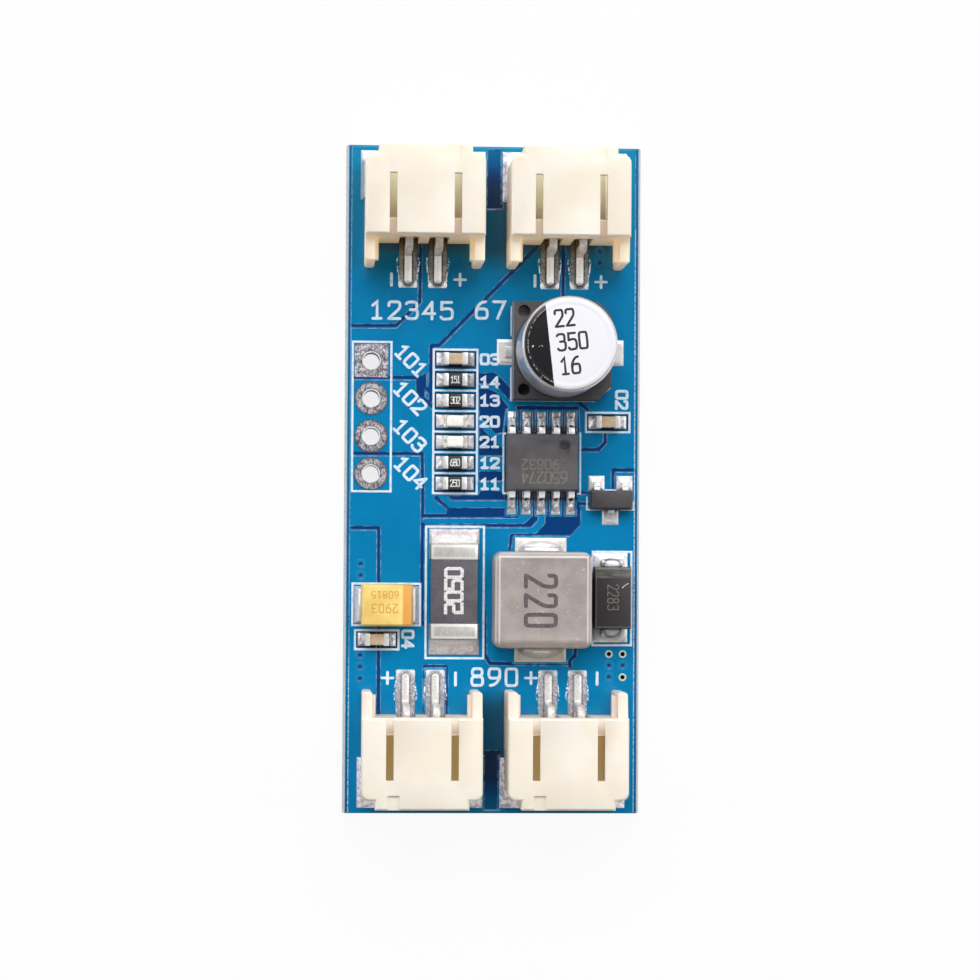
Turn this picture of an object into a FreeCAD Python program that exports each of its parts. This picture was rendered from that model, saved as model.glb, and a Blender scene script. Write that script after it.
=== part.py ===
import FreeCAD, Part
import math
import os

from FreeCAD import Vector

# Charger module for one lithium cell: a long narrow circuit board, seen with its parts on top.
# Millimetres. Origin at the centre of the board's underside, +Z up out of the component side,
# +Y towards the end with the two supply sockets, +X to the right when seen from above.

# Board: laminate snapped from a panel along two V-scores, which leave a bevel on its long edges.
# Its width and length follow from what stands on it, in the section on the layout below.
BOARD_THICKNESS = 1.6
SCORE_DEPTH = 0.5
SCORE_INSET = 0.18
LAND_THICKNESS = 0.05
PLATING = 0.05

# Header: a row of plated holes for a pin strip, the first one with a square land
HEADER_EDGE = 1.78
HEADER_PITCH = 2.54
HEADER_COUNT = 4
HEADER_BORE = 1.1
HEADER_LAND = 2.25

# Vias: drilled through, with so few sides because they are small and many
VIA_BORE = 0.3
VIA_SIDES = 12
VIA_PITCH = 0.78
VIA_COLUMN_PITCH = 0.93
VIA_EDGE = 1.14

# Sockets: side-entry shrouded two-way wire sockets, one pair at each end of the board
SOCKET_OFFSET_X = 4.8
SOCKET_SETBACK = 0.63
SOCKET_WIDTH = 7.9
SOCKET_DEPTH = 6.0
SOCKET_HEIGHT = 5.5
SOCKET_SIDE_WALL = 1.0
SOCKET_FLAT_WALL = 0.5
SOCKET_REAR_WALL = 1.1
SOCKET_LIP_WIDTH = 6.16
SOCKET_LIP_LENGTH = 0.62
SOCKET_CORNER = 0.5
SOCKET_EDGE = 0.12
SLOT_OFFSET = 2.13
SLOT_WIDTH = 0.5
SLOT_START = 1.93
SLOT_LENGTH = 2.95
SLOT_GROOVE_DEPTH = 0.22
KEY_NOTCH_X = 1.88
KEY_NOTCH_WIDTH = 0.78
KEY_NOTCH_LENGTH = 0.95
KEY_NOTCH_DEPTH = 0.14
LEG_LENGTH = 1.68
LEG_WIDTH = 0.66
LEG_ROOT_HEIGHT = 4.7
LEG_TIP_HEIGHT = 4.4
LEG_CHAMFER = 0.12
LEG_RIB_WIDTH = 0.24
LEG_RIB_HEIGHT = 0.8
LEG_RIB_Z = 2.2
LEG_RIB_SETBACK = 0.25
POCKET_WIDTH = 1.3
POCKET_DEPTH = 0.35
POCKET_HEIGHT = 3.75

# Socket contacts: square wire, straight in the shroud, bent down behind it and out along the board
CONTACT_PITCH = 2.0
CONTACT_SIZE = 0.5
CONTACT_HEIGHT = 3.05
CONTACT_RECESS = 1.5
CONTACT_POINT = 0.16
CONTACT_DROP_Y = -0.52
CONTACT_FOOT_END = -2.8
CONTACT_BEND = 0.25
SIGNAL_LAND_WIDTH = 1.2
SIGNAL_LAND_REACH = 3.0

# Solder tabs: strips let into the side walls and wrapped round the front corners
TAB_THICKNESS = 0.25
TAB_HEIGHT = 2.1
TAB_LENGTH = 3.0
TAB_WRAP = 0.95
TAB_LAND_WIDTH = 1.5
TAB_LAND_LENGTH = 3.4
TAB_LAND_OVERHANG = 0.28

# Electrolytic capacitor: aluminium can held in a square moulded base
CAN_DIAMETER = 6.3
CAN_HEIGHT = 7.7
CAN_EDGE = 0.35
CAN_NECK_Z = 2.3
CAN_NECK_WIDTH = 0.9
CAN_NECK_WAIST = 0.3
CAN_NECK_DEPTH = 0.28
CAN_SEAT_GAP = 0.03
BASE_SIDE = 6.6
BASE_HEIGHT = 1.6
BASE_FLOOR = 0.55
BASE_CHAMFER = 0.9
BASE_DIMPLE = 0.8
BASE_DIMPLE_INSET_X = 0.72
BASE_DIMPLE_INSET_Y = 0.66
CAN_LEAD_WIDTH = 0.7
CAN_LEAD_THICKNESS = 0.2
CAN_LEAD_REACH = 3.75
CAN_LEAD_INNER = 0.6
CAN_LAND_WIDTH = 1.75
CAN_LAND_REACH = 4.3
CAN_LAND_INNER = 1.3

# Charge controller: ten-lead gull-wing package
DRIVER_LENGTH = 4.9
DRIVER_WIDTH = 3.9
DRIVER_HEIGHT = 1.5
DRIVER_STANDOFF = 0.1
DRIVER_SPAN = 6.0
DRIVER_PITCH = 1.0
DRIVER_ROW = 5
DRIVER_LEAD_WIDTH = 0.4
DRIVER_LEAD_THICKNESS = 0.18
DRIVER_FOOT = 0.65
DRIVER_DIMPLE = 0.75
DRIVER_DIMPLE_DEPTH = 0.08
DRIVER_DIMPLE_INSET = 1.05
DRIVER_LAND_WIDTH = 0.6
DRIVER_LAND_SPAN = 7.0
DRIVER_LAND_LENGTH = 1.65

# Switch transistor: three-lead gull-wing package
SWITCH_LENGTH = 2.9
SWITCH_WIDTH = 1.3
SWITCH_HEIGHT = 1.0
SWITCH_STANDOFF = 0.08
SWITCH_SPAN = 2.45
SWITCH_PITCH = 1.9
SWITCH_LEAD_WIDTH = 0.42
SWITCH_LEAD_THICKNESS = 0.13
SWITCH_FOOT = 0.35
SWITCH_LAND_WIDTH = 1.12
SWITCH_LAND_SPAN = 3.35
SWITCH_LAND_LENGTH = 1.05

MOULD_TAPER = 0.12

# Sense resistor: flat power chip with wrapped end terminals
SHUNT_LENGTH = 6.35
SHUNT_WIDTH = 3.15
SHUNT_HEIGHT = 0.6
SHUNT_TERMINAL = 1.02
SHUNT_PLATE = 0.05
SHUNT_LAND_WIDTH = 3.4
SHUNT_LAND_SPAN = 8.5
SHUNT_LAND_LENGTH = 2.1

# Power inductor: moulded block with its terminals folded under both ends
INDUCTOR_WIDTH = 6.6
INDUCTOR_LENGTH = 6.5
INDUCTOR_HEIGHT = 3.0
INDUCTOR_CORNER = 0.6
INDUCTOR_RIM = 0.34
INDUCTOR_RIM_HEIGHT = 0.3
INDUCTOR_STANDOFF = 0.18
INDUCTOR_TERMINAL_WIDTH = 2.4
INDUCTOR_TERMINAL_THICKNESS = 0.18
INDUCTOR_TERMINAL_Z = 0.75
INDUCTOR_TERMINAL_OUT = 0.16
INDUCTOR_TERMINAL_FOLD = 1.4
INDUCTOR_LAND_WIDTH = 3.5
INDUCTOR_LAND_SPAN = 8.4
INDUCTOR_LAND_LENGTH = 2.4

# Rectifier: moulded two-lead package with leads folded under
DIODE_LENGTH = 4.2
DIODE_WIDTH = 2.6
DIODE_HEIGHT = 2.2
DIODE_STANDOFF = 0.2
DIODE_LEAD_WIDTH = 1.4
DIODE_LEAD_THICKNESS = 0.2
DIODE_LEAD_OUT = 0.3
DIODE_LEAD_FOLD = 1.0
DIODE_LAND_WIDTH = 2.35
DIODE_LAND_SPAN = 6.05
DIODE_LAND_LENGTH = 1.9

# Tantalum capacitor: the same build, lying across the board
TANTALUM_LENGTH = 3.45
TANTALUM_WIDTH = 2.85
TANTALUM_HEIGHT = 1.9
TANTALUM_STANDOFF = 0.13
TANTALUM_LEAD_WIDTH = 2.2
TANTALUM_LEAD_THICKNESS = 0.13
TANTALUM_LEAD_OUT = 0.1
TANTALUM_LEAD_FOLD = 0.8
TANTALUM_LAND_WIDTH = 2.5
TANTALUM_LAND_SPAN = 4.35
TANTALUM_LAND_LENGTH = 1.2

# Small chips: resistors, ceramic capacitors and lamps share one footprint
CHIP_LENGTH = 1.6
CHIP_WIDTH = 0.82
CHIP_CAP = 0.34
CHIP_PLATE = 0.04
RESISTOR_HEIGHT = 0.5
CERAMIC_HEIGHT = 0.8
CHIP_LAND_WIDTH = 0.92
CHIP_LAND_SPAN = 2.58
CHIP_LAND_LENGTH = 0.85
CHIP_ROW_PITCH = 1.398
LAMP_BASE_HEIGHT = 0.3
LAMP_LENS_LENGTH = 1.2
LAMP_LENS_HEIGHT = 0.45
LAMP_LENS_DRAFT = 0.06
LAMP_CASTELLATION = 0.3

# Solder climbs from a land up this share of what it wets, and runs out along the land
SOLDER_CLIMB = 0.6
TAB_SOLDER_CLIMB = 0.3
SOLDER_RUN = 0.32
SHUNT_SOLDER_RUN = 0.64

# Thin leads: inner bend radius as a share of the thickness, and the sides that round each bend
LEAD_BEND_RATIO = 0.4
LEAD_BEND_SIDES = 2

# Layout across the board, from its -X edge: tantalum, sense resistor, inductor, rectifier
LEFT_MARGIN = 0.725
SHUNT_GAP = 0.665
INDUCTOR_GAP = 0.84
DIODE_GAP = 0.12
RIGHT_MARGIN = 0.7
BOARD_WIDTH = (
    LEFT_MARGIN + TANTALUM_LAND_SPAN + SHUNT_GAP + SHUNT_LAND_WIDTH + INDUCTOR_GAP + INDUCTOR_WIDTH
    + DIODE_GAP + DIODE_WIDTH + RIGHT_MARGIN
)
LEFT_EDGE = -BOARD_WIDTH / 2
RIGHT_EDGE = BOARD_WIDTH / 2
TANTALUM_X = LEFT_EDGE + LEFT_MARGIN + TANTALUM_LAND_SPAN / 2
SHUNT_X = TANTALUM_X + TANTALUM_LAND_SPAN / 2 + SHUNT_GAP + SHUNT_LAND_WIDTH / 2
INDUCTOR_X = SHUNT_X + SHUNT_LAND_WIDTH / 2 + INDUCTOR_GAP + INDUCTOR_WIDTH / 2
DIODE_X = INDUCTOR_X + INDUCTOR_WIDTH / 2 + DIODE_GAP + DIODE_WIDTH / 2
DRIVER_X = INDUCTOR_X
CHIP_COLUMN_X = SHUNT_X
CAN_OFFSET_X = 1.26
SWITCH_EDGE = 2.02
C2_EDGE = 2.24
C4_EDGE = 2.26
CAN_X = INDUCTOR_X + CAN_OFFSET_X
SWITCH_X = RIGHT_EDGE - SWITCH_EDGE
C2_X = RIGHT_EDGE - C2_EDGE
C4_X = LEFT_EDGE + C4_EDGE

# Layout along the board, from the battery sockets up: inductor, controller, electrolytic
BATTERY_CLEARANCE = 0.53
POWER_GAP = 1.54
CAN_GAP = 0.68
SUPPLY_CLEARANCE = 0.99
FIELD_LENGTH = (
    SIGNAL_LAND_REACH + BATTERY_CLEARANCE + INDUCTOR_LAND_SPAN + POWER_GAP + DRIVER_LAND_SPAN
    + CAN_GAP + BASE_SIDE + SUPPLY_CLEARANCE + SIGNAL_LAND_REACH
)
BOARD_LENGTH = FIELD_LENGTH + 2 * (SOCKET_DEPTH + SOCKET_SETBACK)
REAR_WALL_Y = FIELD_LENGTH / 2
INDUCTOR_Y = -REAR_WALL_Y + SIGNAL_LAND_REACH + BATTERY_CLEARANCE + INDUCTOR_LAND_SPAN / 2
DRIVER_Y = INDUCTOR_Y + INDUCTOR_LAND_SPAN / 2 + POWER_GAP + DRIVER_LAND_SPAN / 2
CAN_Y = DRIVER_Y + DRIVER_LAND_SPAN / 2 + CAN_GAP + BASE_SIDE / 2

# Pieces beside those three, each set off from the nearest of them
SHUNT_OFFSET_Y = 0.52
DIODE_OFFSET_Y = 0.17
TANTALUM_OFFSET_Y = -0.39
HEADER_OFFSET_Y = 3.01
SWITCH_OFFSET_Y = -2.5
C2_OFFSET_Y = 2.77
C4_OFFSET_Y = -2.32
CHIP_COLUMN_OFFSET_Y = -0.52
UPPER_VIA_OFFSET_Y = 2.73
LOWER_VIA_OFFSET_Y = -1.09
RIGHT_VIA_OFFSET_Y = -3.81
SHUNT_Y = INDUCTOR_Y + SHUNT_OFFSET_Y
DIODE_Y = INDUCTOR_Y + DIODE_OFFSET_Y
TANTALUM_Y = INDUCTOR_Y + TANTALUM_OFFSET_Y
HEADER_Y = DRIVER_Y + HEADER_OFFSET_Y
SWITCH_Y = DRIVER_Y + SWITCH_OFFSET_Y
C2_Y = DRIVER_Y + C2_OFFSET_Y
C4_Y = TANTALUM_Y + C4_OFFSET_Y
CHIP_COLUMN_TOP_Y = CAN_Y + CHIP_COLUMN_OFFSET_Y
UPPER_VIA_Y = TANTALUM_Y + UPPER_VIA_OFFSET_Y
LOWER_VIA_Y = C4_Y + LOWER_VIA_OFFSET_Y
RIGHT_VIA_Y = DIODE_Y + RIGHT_VIA_OFFSET_Y

LAND_TOP = BOARD_THICKNESS + LAND_THICKNESS

# Edges whose coordinates agree this closely lie on the same face or line
SAME_PLACE = 0.001

# Rows of the chip column, from the header end down
COLUMN_ROWS = ("C3", "R4", "R3", "charged_lamp", "charging_lamp", "R2", "R1")


def same(first, second):
    """True where two coordinates name the same place."""
    return abs(first - second) < SAME_PLACE


def block(width, length, height, x=0.0, y=0.0, z=0.0):
    """Box centred on x, y and standing on z."""
    return Part.makeBox(width, length, height, Vector(x - width / 2, y - length / 2, z))


def placed(shape, x, y, turn=0.0):
    """Copy of a shape built on its own origin, stood on the lands at x, y and turned about Z."""
    copy = shape.copy()
    copy.rotate(Vector(0, 0, 0), Vector(0, 0, 1), turn)
    copy.translate(Vector(x, y, LAND_TOP))
    return copy


def group(solids):
    """Separate solids that share one file."""
    return Part.makeCompound(solids)


def save(name, shape):
    """Write one sub-part."""
    shape.exportStep("parts/" + name + ".step")
    print(name, len(shape.Solids), "solid(s)", round(shape.Volume, 3), "mm3")


def bend_edges(bend_in, bend_out, centre, spoke, turn, sides):
    """Edges of one face of a bend about X: an arc through the spoke, or a few straight sides."""
    radius = bend_in.distanceToPoint(centre)
    if not sides:
        return [Part.Arc(bend_in, centre + spoke * radius, bend_out).toShape()]
    corners = [bend_in]
    for step in range(1, sides):
        rotation = FreeCAD.Rotation(Vector(1, 0, 0), math.degrees(turn * step / sides))
        corners.append(centre + rotation.multVec(bend_in - centre))
    corners.append(bend_out)
    return [Part.LineSegment(a, b).toShape() for a, b in zip(corners, corners[1:])]


def bent_strip(points, thickness, inner_radius, width, sides=0):
    """Strip of constant thickness in the YZ plane, centred on X, whose middle line runs through
    points (y, z) and turns every corner on an arc, or on straight sides where a number is given."""
    path = [Vector(0, y, z) for y, z in points]
    middle_radius = inner_radius + thickness / 2
    left = []
    right = []
    start = path[0]
    for before, corner, after in zip(path, path[1:], path[2:]):
        come = (corner - before).normalize()
        go = (after - corner).normalize()
        turn = come.getAngle(go)
        side = 1 if come.cross(go).x > 0 else -1
        reach = middle_radius * math.tan(turn / 2)
        arc_start = corner - come * reach
        arc_end = corner + go * reach
        inward = Vector(0, -come.z, come.y) * side
        centre = arc_start + inward * middle_radius
        spoke = (corner - centre).normalize()
        for edges, offset in ((left, thickness / 2), (right, -thickness / 2)):
            first = start + Vector(0, -come.z, come.y) * offset
            bend_in = arc_start + Vector(0, -come.z, come.y) * offset
            bend_out = arc_end + Vector(0, -go.z, go.y) * offset
            edges.append(Part.LineSegment(first, bend_in).toShape())
            edges.extend(bend_edges(bend_in, bend_out, centre, spoke, turn * side, sides))
        start = arc_end
    come = (path[-1] - path[-2]).normalize()
    normal = Vector(0, -come.z, come.y) * (thickness / 2)
    left.append(Part.LineSegment(start + normal, path[-1] + normal).toShape())
    right.append(Part.LineSegment(start - normal, path[-1] - normal).toShape())
    head = (path[1] - path[0]).normalize()
    head_normal = Vector(0, -head.z, head.y) * (thickness / 2)
    cap_start = Part.LineSegment(path[0] + head_normal, path[0] - head_normal).toShape()
    cap_end = Part.LineSegment(path[-1] + normal, path[-1] - normal).toShape()
    wire = Part.Wire(Part.__sortEdges__(left + right + [cap_start, cap_end]))
    strip = Part.Face(wire).extrude(Vector(width, 0, 0))
    strip.translate(Vector(-width / 2, 0, 0))
    return strip


def slab_between(width_low, length_low, z_low, width_high, length_high, z_high):
    """Frustum with rectangular ends, for the drafted halves of a moulded body."""
    wires = []
    for width, length, z in ((width_low, length_low, z_low), (width_high, length_high, z_high)):
        corners = [
            Vector(-width / 2, -length / 2, z),
            Vector(width / 2, -length / 2, z),
            Vector(width / 2, length / 2, z),
            Vector(-width / 2, length / 2, z),
        ]
        wires.append(Part.makePolygon(corners + corners[:1]))
    return Part.makeLoft(wires, True, True)


def moulded_body(width, length, height, standoff):
    """Plastic package drafted up and down from the parting line that its leads leave on."""
    parting = (standoff + height) / 2
    small_width = width - 2 * MOULD_TAPER
    small_length = length - 2 * MOULD_TAPER
    lower = slab_between(small_width, small_length, standoff, width, length, parting)
    upper = slab_between(width, length, parting, small_width, small_length, height)
    return lower.fuse(upper).removeSplitter()


def mirrored_y(shape):
    """Twin of a shape across the XZ plane."""
    return shape.mirror(Vector(0, 0, 0), Vector(0, 1, 0))


def mirrored_x(shape):
    """Twin of a shape across the YZ plane."""
    return shape.mirror(Vector(0, 0, 0), Vector(1, 0, 0))


def ramp(width, rise, y, run=SOLDER_RUN):
    """Solder wedge against a wall at y that faces +Y, its toe run away on the land."""
    corners = [Vector(-width / 2, y, 0), Vector(-width / 2, y + run, 0), Vector(-width / 2, y, rise)]
    return Part.Face(Part.makePolygon(corners + corners[:1])).extrude(Vector(width, 0, 0))


def quarter_turn(shape, turn):
    """Copy of a shape turned about Z on its own origin."""
    copy = shape.copy()
    copy.rotate(Vector(0, 0, 0), Vector(0, 0, 1), turn)
    return copy


# Board and its plated holes
def plated_hole(bore, land, square=False):
    """Tinned barrel with a land at both ends, the lower one flush with the underside, and the
    solid that it fills in the laminate."""
    filled = Part.makeCylinder(bore / 2 + PLATING, LAND_TOP)
    lands = []
    for z in (0.0, BOARD_THICKNESS):
        if square:
            lands.append(block(land, land, LAND_THICKNESS, z=z))
        else:
            lands.append(Part.makeCylinder(land / 2, LAND_THICKNESS, Vector(0, 0, z)))
    filled = filled.fuse(lands).removeSplitter()
    hole = filled.cut(Part.makeCylinder(bore / 2, LAND_TOP))
    return hole, filled


def via_hole():
    """Prism that one via's bore takes out of the laminate."""
    step = math.tau / VIA_SIDES
    radius = VIA_BORE / 2
    rim = [Vector(radius * math.cos(i * step), radius * math.sin(i * step), 0) for i in range(VIA_SIDES)]
    return Part.Face(Part.makePolygon(rim + rim[:1])).extrude(Vector(0, 0, BOARD_THICKNESS))


def at_all(shape, places):
    """Copies of a board feature at each place, with no change of height."""
    copies = []
    for x, y in places:
        copy = shape.copy()
        copy.translate(Vector(x, y, 0))
        copies.append(copy)
    return copies


def header_places():
    """Centres of the header holes from the supply end down."""
    top = HEADER_Y + HEADER_PITCH * (HEADER_COUNT - 1) / 2
    return [(LEFT_EDGE + HEADER_EDGE, top - row * HEADER_PITCH) for row in range(HEADER_COUNT)]


def via_places():
    """Centres of every via: a column by the left edge, a block by the right one, and a pair
    between a supply socket's legs."""
    left = LEFT_EDGE + VIA_EDGE
    right = RIGHT_EDGE - VIA_EDGE
    behind_socket = SOCKET_OFFSET_X + SOCKET_WIDTH / 2 - 2 * LEG_WIDTH - LEG_RIB_WIDTH
    places = [(left, UPPER_VIA_Y - row * VIA_PITCH) for row in range(2)]
    places += [(left, LOWER_VIA_Y - row * VIA_PITCH) for row in range(3)]
    for row in range(3):
        for column in range(2):
            places.append((right - column * VIA_COLUMN_PITCH, RIGHT_VIA_Y - row * VIA_PITCH))
    places += [(behind_socket, REAR_WALL_Y - VIA_PITCH * (row + 0.5)) for row in range(2)]
    return places


def make_board():
    """Laminate with scored edges and drilled vias, and the header's eyelets in their holes."""
    half = RIGHT_EDGE
    flat = half - SCORE_INSET
    waist = BOARD_THICKNESS - SCORE_DEPTH
    outline = [
        (-flat, 0.0),
        (flat, 0.0),
        (half, SCORE_DEPTH),
        (half, waist),
        (flat, BOARD_THICKNESS),
        (-flat, BOARD_THICKNESS),
        (-half, waist),
        (-half, SCORE_DEPTH),
    ]
    corners = [Vector(x, -BOARD_LENGTH / 2, z) for x, z in outline]
    section = Part.Face(Part.makePolygon(corners + corners[:1]))
    laminate = section.extrude(Vector(0, BOARD_LENGTH, 0))

    square_hole, square_filled = plated_hole(HEADER_BORE, HEADER_LAND, square=True)
    round_hole, round_filled = plated_hole(HEADER_BORE, HEADER_LAND)
    first = header_places()[:1]
    rest = header_places()[1:]
    eyelets = at_all(square_hole, first) + at_all(round_hole, rest)
    filled = at_all(square_filled, first) + at_all(round_filled, rest)
    laminate = laminate.cut(filled + at_all(via_hole(), via_places()))
    return laminate, eyelets


# Sockets, built with the mouth towards +Y and the rear wall's outer face on y = 0
def socket_tab():
    """Right-hand solder tab: a strip along the side wall and round the front corner."""
    shoulder = SOCKET_DEPTH - SOCKET_LIP_LENGTH
    side = SOCKET_WIDTH / 2 - TAB_THICKNESS / 2
    front = shoulder - TAB_THICKNESS / 2
    inner = SOCKET_CORNER - TAB_THICKNESS / 2
    points = [(0.0, 0.0), (TAB_LENGTH, 0.0), (TAB_LENGTH, TAB_WRAP)]
    strip = bent_strip(points, TAB_THICKNESS, inner - TAB_THICKNESS / 2, TAB_HEIGHT)
    strip.rotate(Vector(0, 0, 0), Vector(0, 1, 0), -90)
    strip.translate(Vector(side, front - TAB_LENGTH, TAB_HEIGHT / 2))
    return strip


def socket_contact():
    """One contact wire on the socket's middle line."""
    tip = SOCKET_DEPTH - CONTACT_RECESS
    middle = CONTACT_SIZE / 2
    points = [
        (tip, CONTACT_HEIGHT),
        (CONTACT_DROP_Y, CONTACT_HEIGHT),
        (CONTACT_DROP_Y, middle),
        (CONTACT_FOOT_END, middle),
    ]
    wire = bent_strip(points, CONTACT_SIZE, CONTACT_BEND, CONTACT_SIZE)
    pointed = [
        edge for edge in wire.Edges
        if same(edge.CenterOfMass.y, tip) or same(edge.CenterOfMass.y, CONTACT_FOOT_END)
    ]
    return wire.makeChamfer(CONTACT_POINT, pointed)


def socket_leg():
    """Right-hand rear leg: its top falls towards the bevelled end, a rib runs along its inner face."""
    outer_x = SOCKET_WIDTH / 2 - LEG_WIDTH
    side = [
        Vector(outer_x, 0, 0),
        Vector(outer_x, -LEG_LENGTH, 0),
        Vector(outer_x, -LEG_LENGTH, LEG_TIP_HEIGHT),
        Vector(outer_x, 0, LEG_ROOT_HEIGHT),
    ]
    leg = Part.Face(Part.makePolygon(side + side[:1])).extrude(Vector(LEG_WIDTH, 0, 0))
    end_edges = [edge for edge in leg.Edges if same(edge.CenterOfMass.y, -LEG_LENGTH)]
    bevelled = [edge for edge in end_edges if not same(edge.CenterOfMass.z, 0)]
    leg = leg.makeChamfer(LEG_CHAMFER, bevelled)
    rib_length = LEG_LENGTH - LEG_RIB_SETBACK
    rib = block(LEG_RIB_WIDTH, rib_length, LEG_RIB_HEIGHT, outer_x - LEG_RIB_WIDTH / 2, -rib_length / 2, LEG_RIB_Z)
    return leg.fuse(rib)


def socket_housing(contacts, tabs):
    """Shrouded housing, open at the mouth, with its slots, notch, legs and seats."""
    shoulder = SOCKET_DEPTH - SOCKET_LIP_LENGTH
    shell = block(SOCKET_WIDTH, shoulder, SOCKET_HEIGHT, 0, shoulder / 2)
    front_corners = [
        edge for edge in shell.Edges
        if same(edge.CenterOfMass.y, shoulder) and same(edge.CenterOfMass.z, SOCKET_HEIGHT / 2)
    ]
    shell = shell.makeFillet(SOCKET_CORNER, front_corners)
    lip = block(SOCKET_LIP_WIDTH, SOCKET_DEPTH, SOCKET_HEIGHT, 0, SOCKET_DEPTH / 2)
    shell = shell.fuse(lip).removeSplitter()
    roof_edges = [edge for edge in shell.Edges if same(edge.BoundBox.ZMin, SOCKET_HEIGHT)]
    shell = shell.makeChamfer(SOCKET_EDGE, roof_edges)
    leg = socket_leg()
    shell = shell.fuse([leg, mirrored_x(leg)]).removeSplitter()

    cavity_width = SOCKET_WIDTH - 2 * SOCKET_SIDE_WALL
    cavity_depth = SOCKET_DEPTH - SOCKET_REAR_WALL
    cavity_height = SOCKET_HEIGHT - 2 * SOCKET_FLAT_WALL
    cavity_y = SOCKET_REAR_WALL + cavity_depth / 2
    cuts = [block(cavity_width, cavity_depth, cavity_height, 0, cavity_y, SOCKET_FLAT_WALL)]

    slot_end = SOCKET_DEPTH - SLOT_START
    slot_y = slot_end - SLOT_LENGTH / 2
    groove_length = slot_end - SLOT_LENGTH
    groove_z = SOCKET_HEIGHT - SLOT_GROOVE_DEPTH
    slot_z = SOCKET_HEIGHT - SOCKET_FLAT_WALL
    for x in (-SLOT_OFFSET, SLOT_OFFSET):
        cuts.append(block(SLOT_WIDTH, SLOT_LENGTH, SOCKET_FLAT_WALL, x, slot_y, slot_z))
        cuts.append(block(SLOT_WIDTH, groove_length, SLOT_GROOVE_DEPTH, x, groove_length / 2, groove_z))

    notch_y = SOCKET_DEPTH - KEY_NOTCH_LENGTH / 2
    notch_z = SOCKET_HEIGHT - KEY_NOTCH_DEPTH
    cuts.append(block(KEY_NOTCH_WIDTH, KEY_NOTCH_LENGTH, KEY_NOTCH_DEPTH, KEY_NOTCH_X, notch_y, notch_z))
    for x in (-CONTACT_PITCH / 2, CONTACT_PITCH / 2):
        cuts.append(block(POCKET_WIDTH, POCKET_DEPTH, POCKET_HEIGHT, x, POCKET_DEPTH / 2))
    return shell.cut(cuts + contacts + tabs)


def make_socket():
    """Housing, contacts and tabs of one socket, with its lands and solder."""
    wire = socket_contact()
    contacts = []
    for x in (-CONTACT_PITCH / 2, CONTACT_PITCH / 2):
        copy = wire.copy()
        copy.translate(Vector(x, 0, 0))
        contacts.append(copy)
    tab = socket_tab()
    tabs = [mirrored_x(tab), tab]
    housing = socket_housing(contacts, tabs)

    lands = []
    signal_start = CONTACT_DROP_Y + CONTACT_SIZE / 2
    signal_length = signal_start + SIGNAL_LAND_REACH
    for x in (-CONTACT_PITCH / 2, CONTACT_PITCH / 2):
        middle = signal_start - signal_length / 2
        lands.append(block(SIGNAL_LAND_WIDTH, signal_length, LAND_THICKNESS, x, middle, -LAND_THICKNESS))
    tab_land_x = SOCKET_WIDTH / 2 + TAB_LAND_OVERHANG - TAB_LAND_WIDTH / 2
    tab_land_y = SOCKET_DEPTH + TAB_LAND_OVERHANG - TAB_LAND_LENGTH / 2
    for x in (-tab_land_x, tab_land_x):
        lands.append(block(TAB_LAND_WIDTH, TAB_LAND_LENGTH, LAND_THICKNESS, x, tab_land_y, -LAND_THICKNESS))

    solder = socket_solder()
    return housing, contacts, tabs, lands, solder


def socket_solder():
    """Ramps beside and before each contact foot, and along each tab."""
    solder = []
    foot_start = CONTACT_DROP_Y - CONTACT_SIZE / 2 - CONTACT_BEND
    foot_length = foot_start - CONTACT_FOOT_END - CONTACT_POINT
    foot_middle = foot_start - foot_length / 2
    side_run = (SIGNAL_LAND_WIDTH - CONTACT_SIZE) / 2
    side_ramp = ramp(foot_length, CONTACT_SIZE * SOLDER_CLIMB, CONTACT_SIZE / 2, side_run)
    for x in (-CONTACT_PITCH / 2, CONTACT_PITCH / 2):
        for turn in (90, -90):
            copy = quarter_turn(side_ramp, turn)
            copy.translate(Vector(x, foot_middle, 0))
            solder.append(copy)
    shoulder = SOCKET_DEPTH - SOCKET_LIP_LENGTH
    tab_run = TAB_LENGTH - SOCKET_CORNER
    tab_rise = TAB_HEIGHT * TAB_SOLDER_CLIMB
    tab_ramp = ramp(tab_run, tab_rise, SOCKET_WIDTH / 2, TAB_LAND_OVERHANG)
    front_width = SOCKET_WIDTH / 2 - SOCKET_CORNER - SOCKET_LIP_WIDTH / 2
    front_ramp = ramp(front_width, tab_rise, shoulder)
    for side in (1, -1):
        copy = quarter_turn(tab_ramp, -90 * side)
        copy.translate(Vector(0, shoulder - TAB_THICKNESS / 2 - TAB_LENGTH + tab_run / 2, 0))
        solder.append(copy)
        front = front_ramp.copy()
        front_x = SOCKET_WIDTH / 2 - SOCKET_CORNER - front_width / 2
        front.translate(Vector(side * front_x, 0, 0))
        solder.append(front)
    return solder


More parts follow.
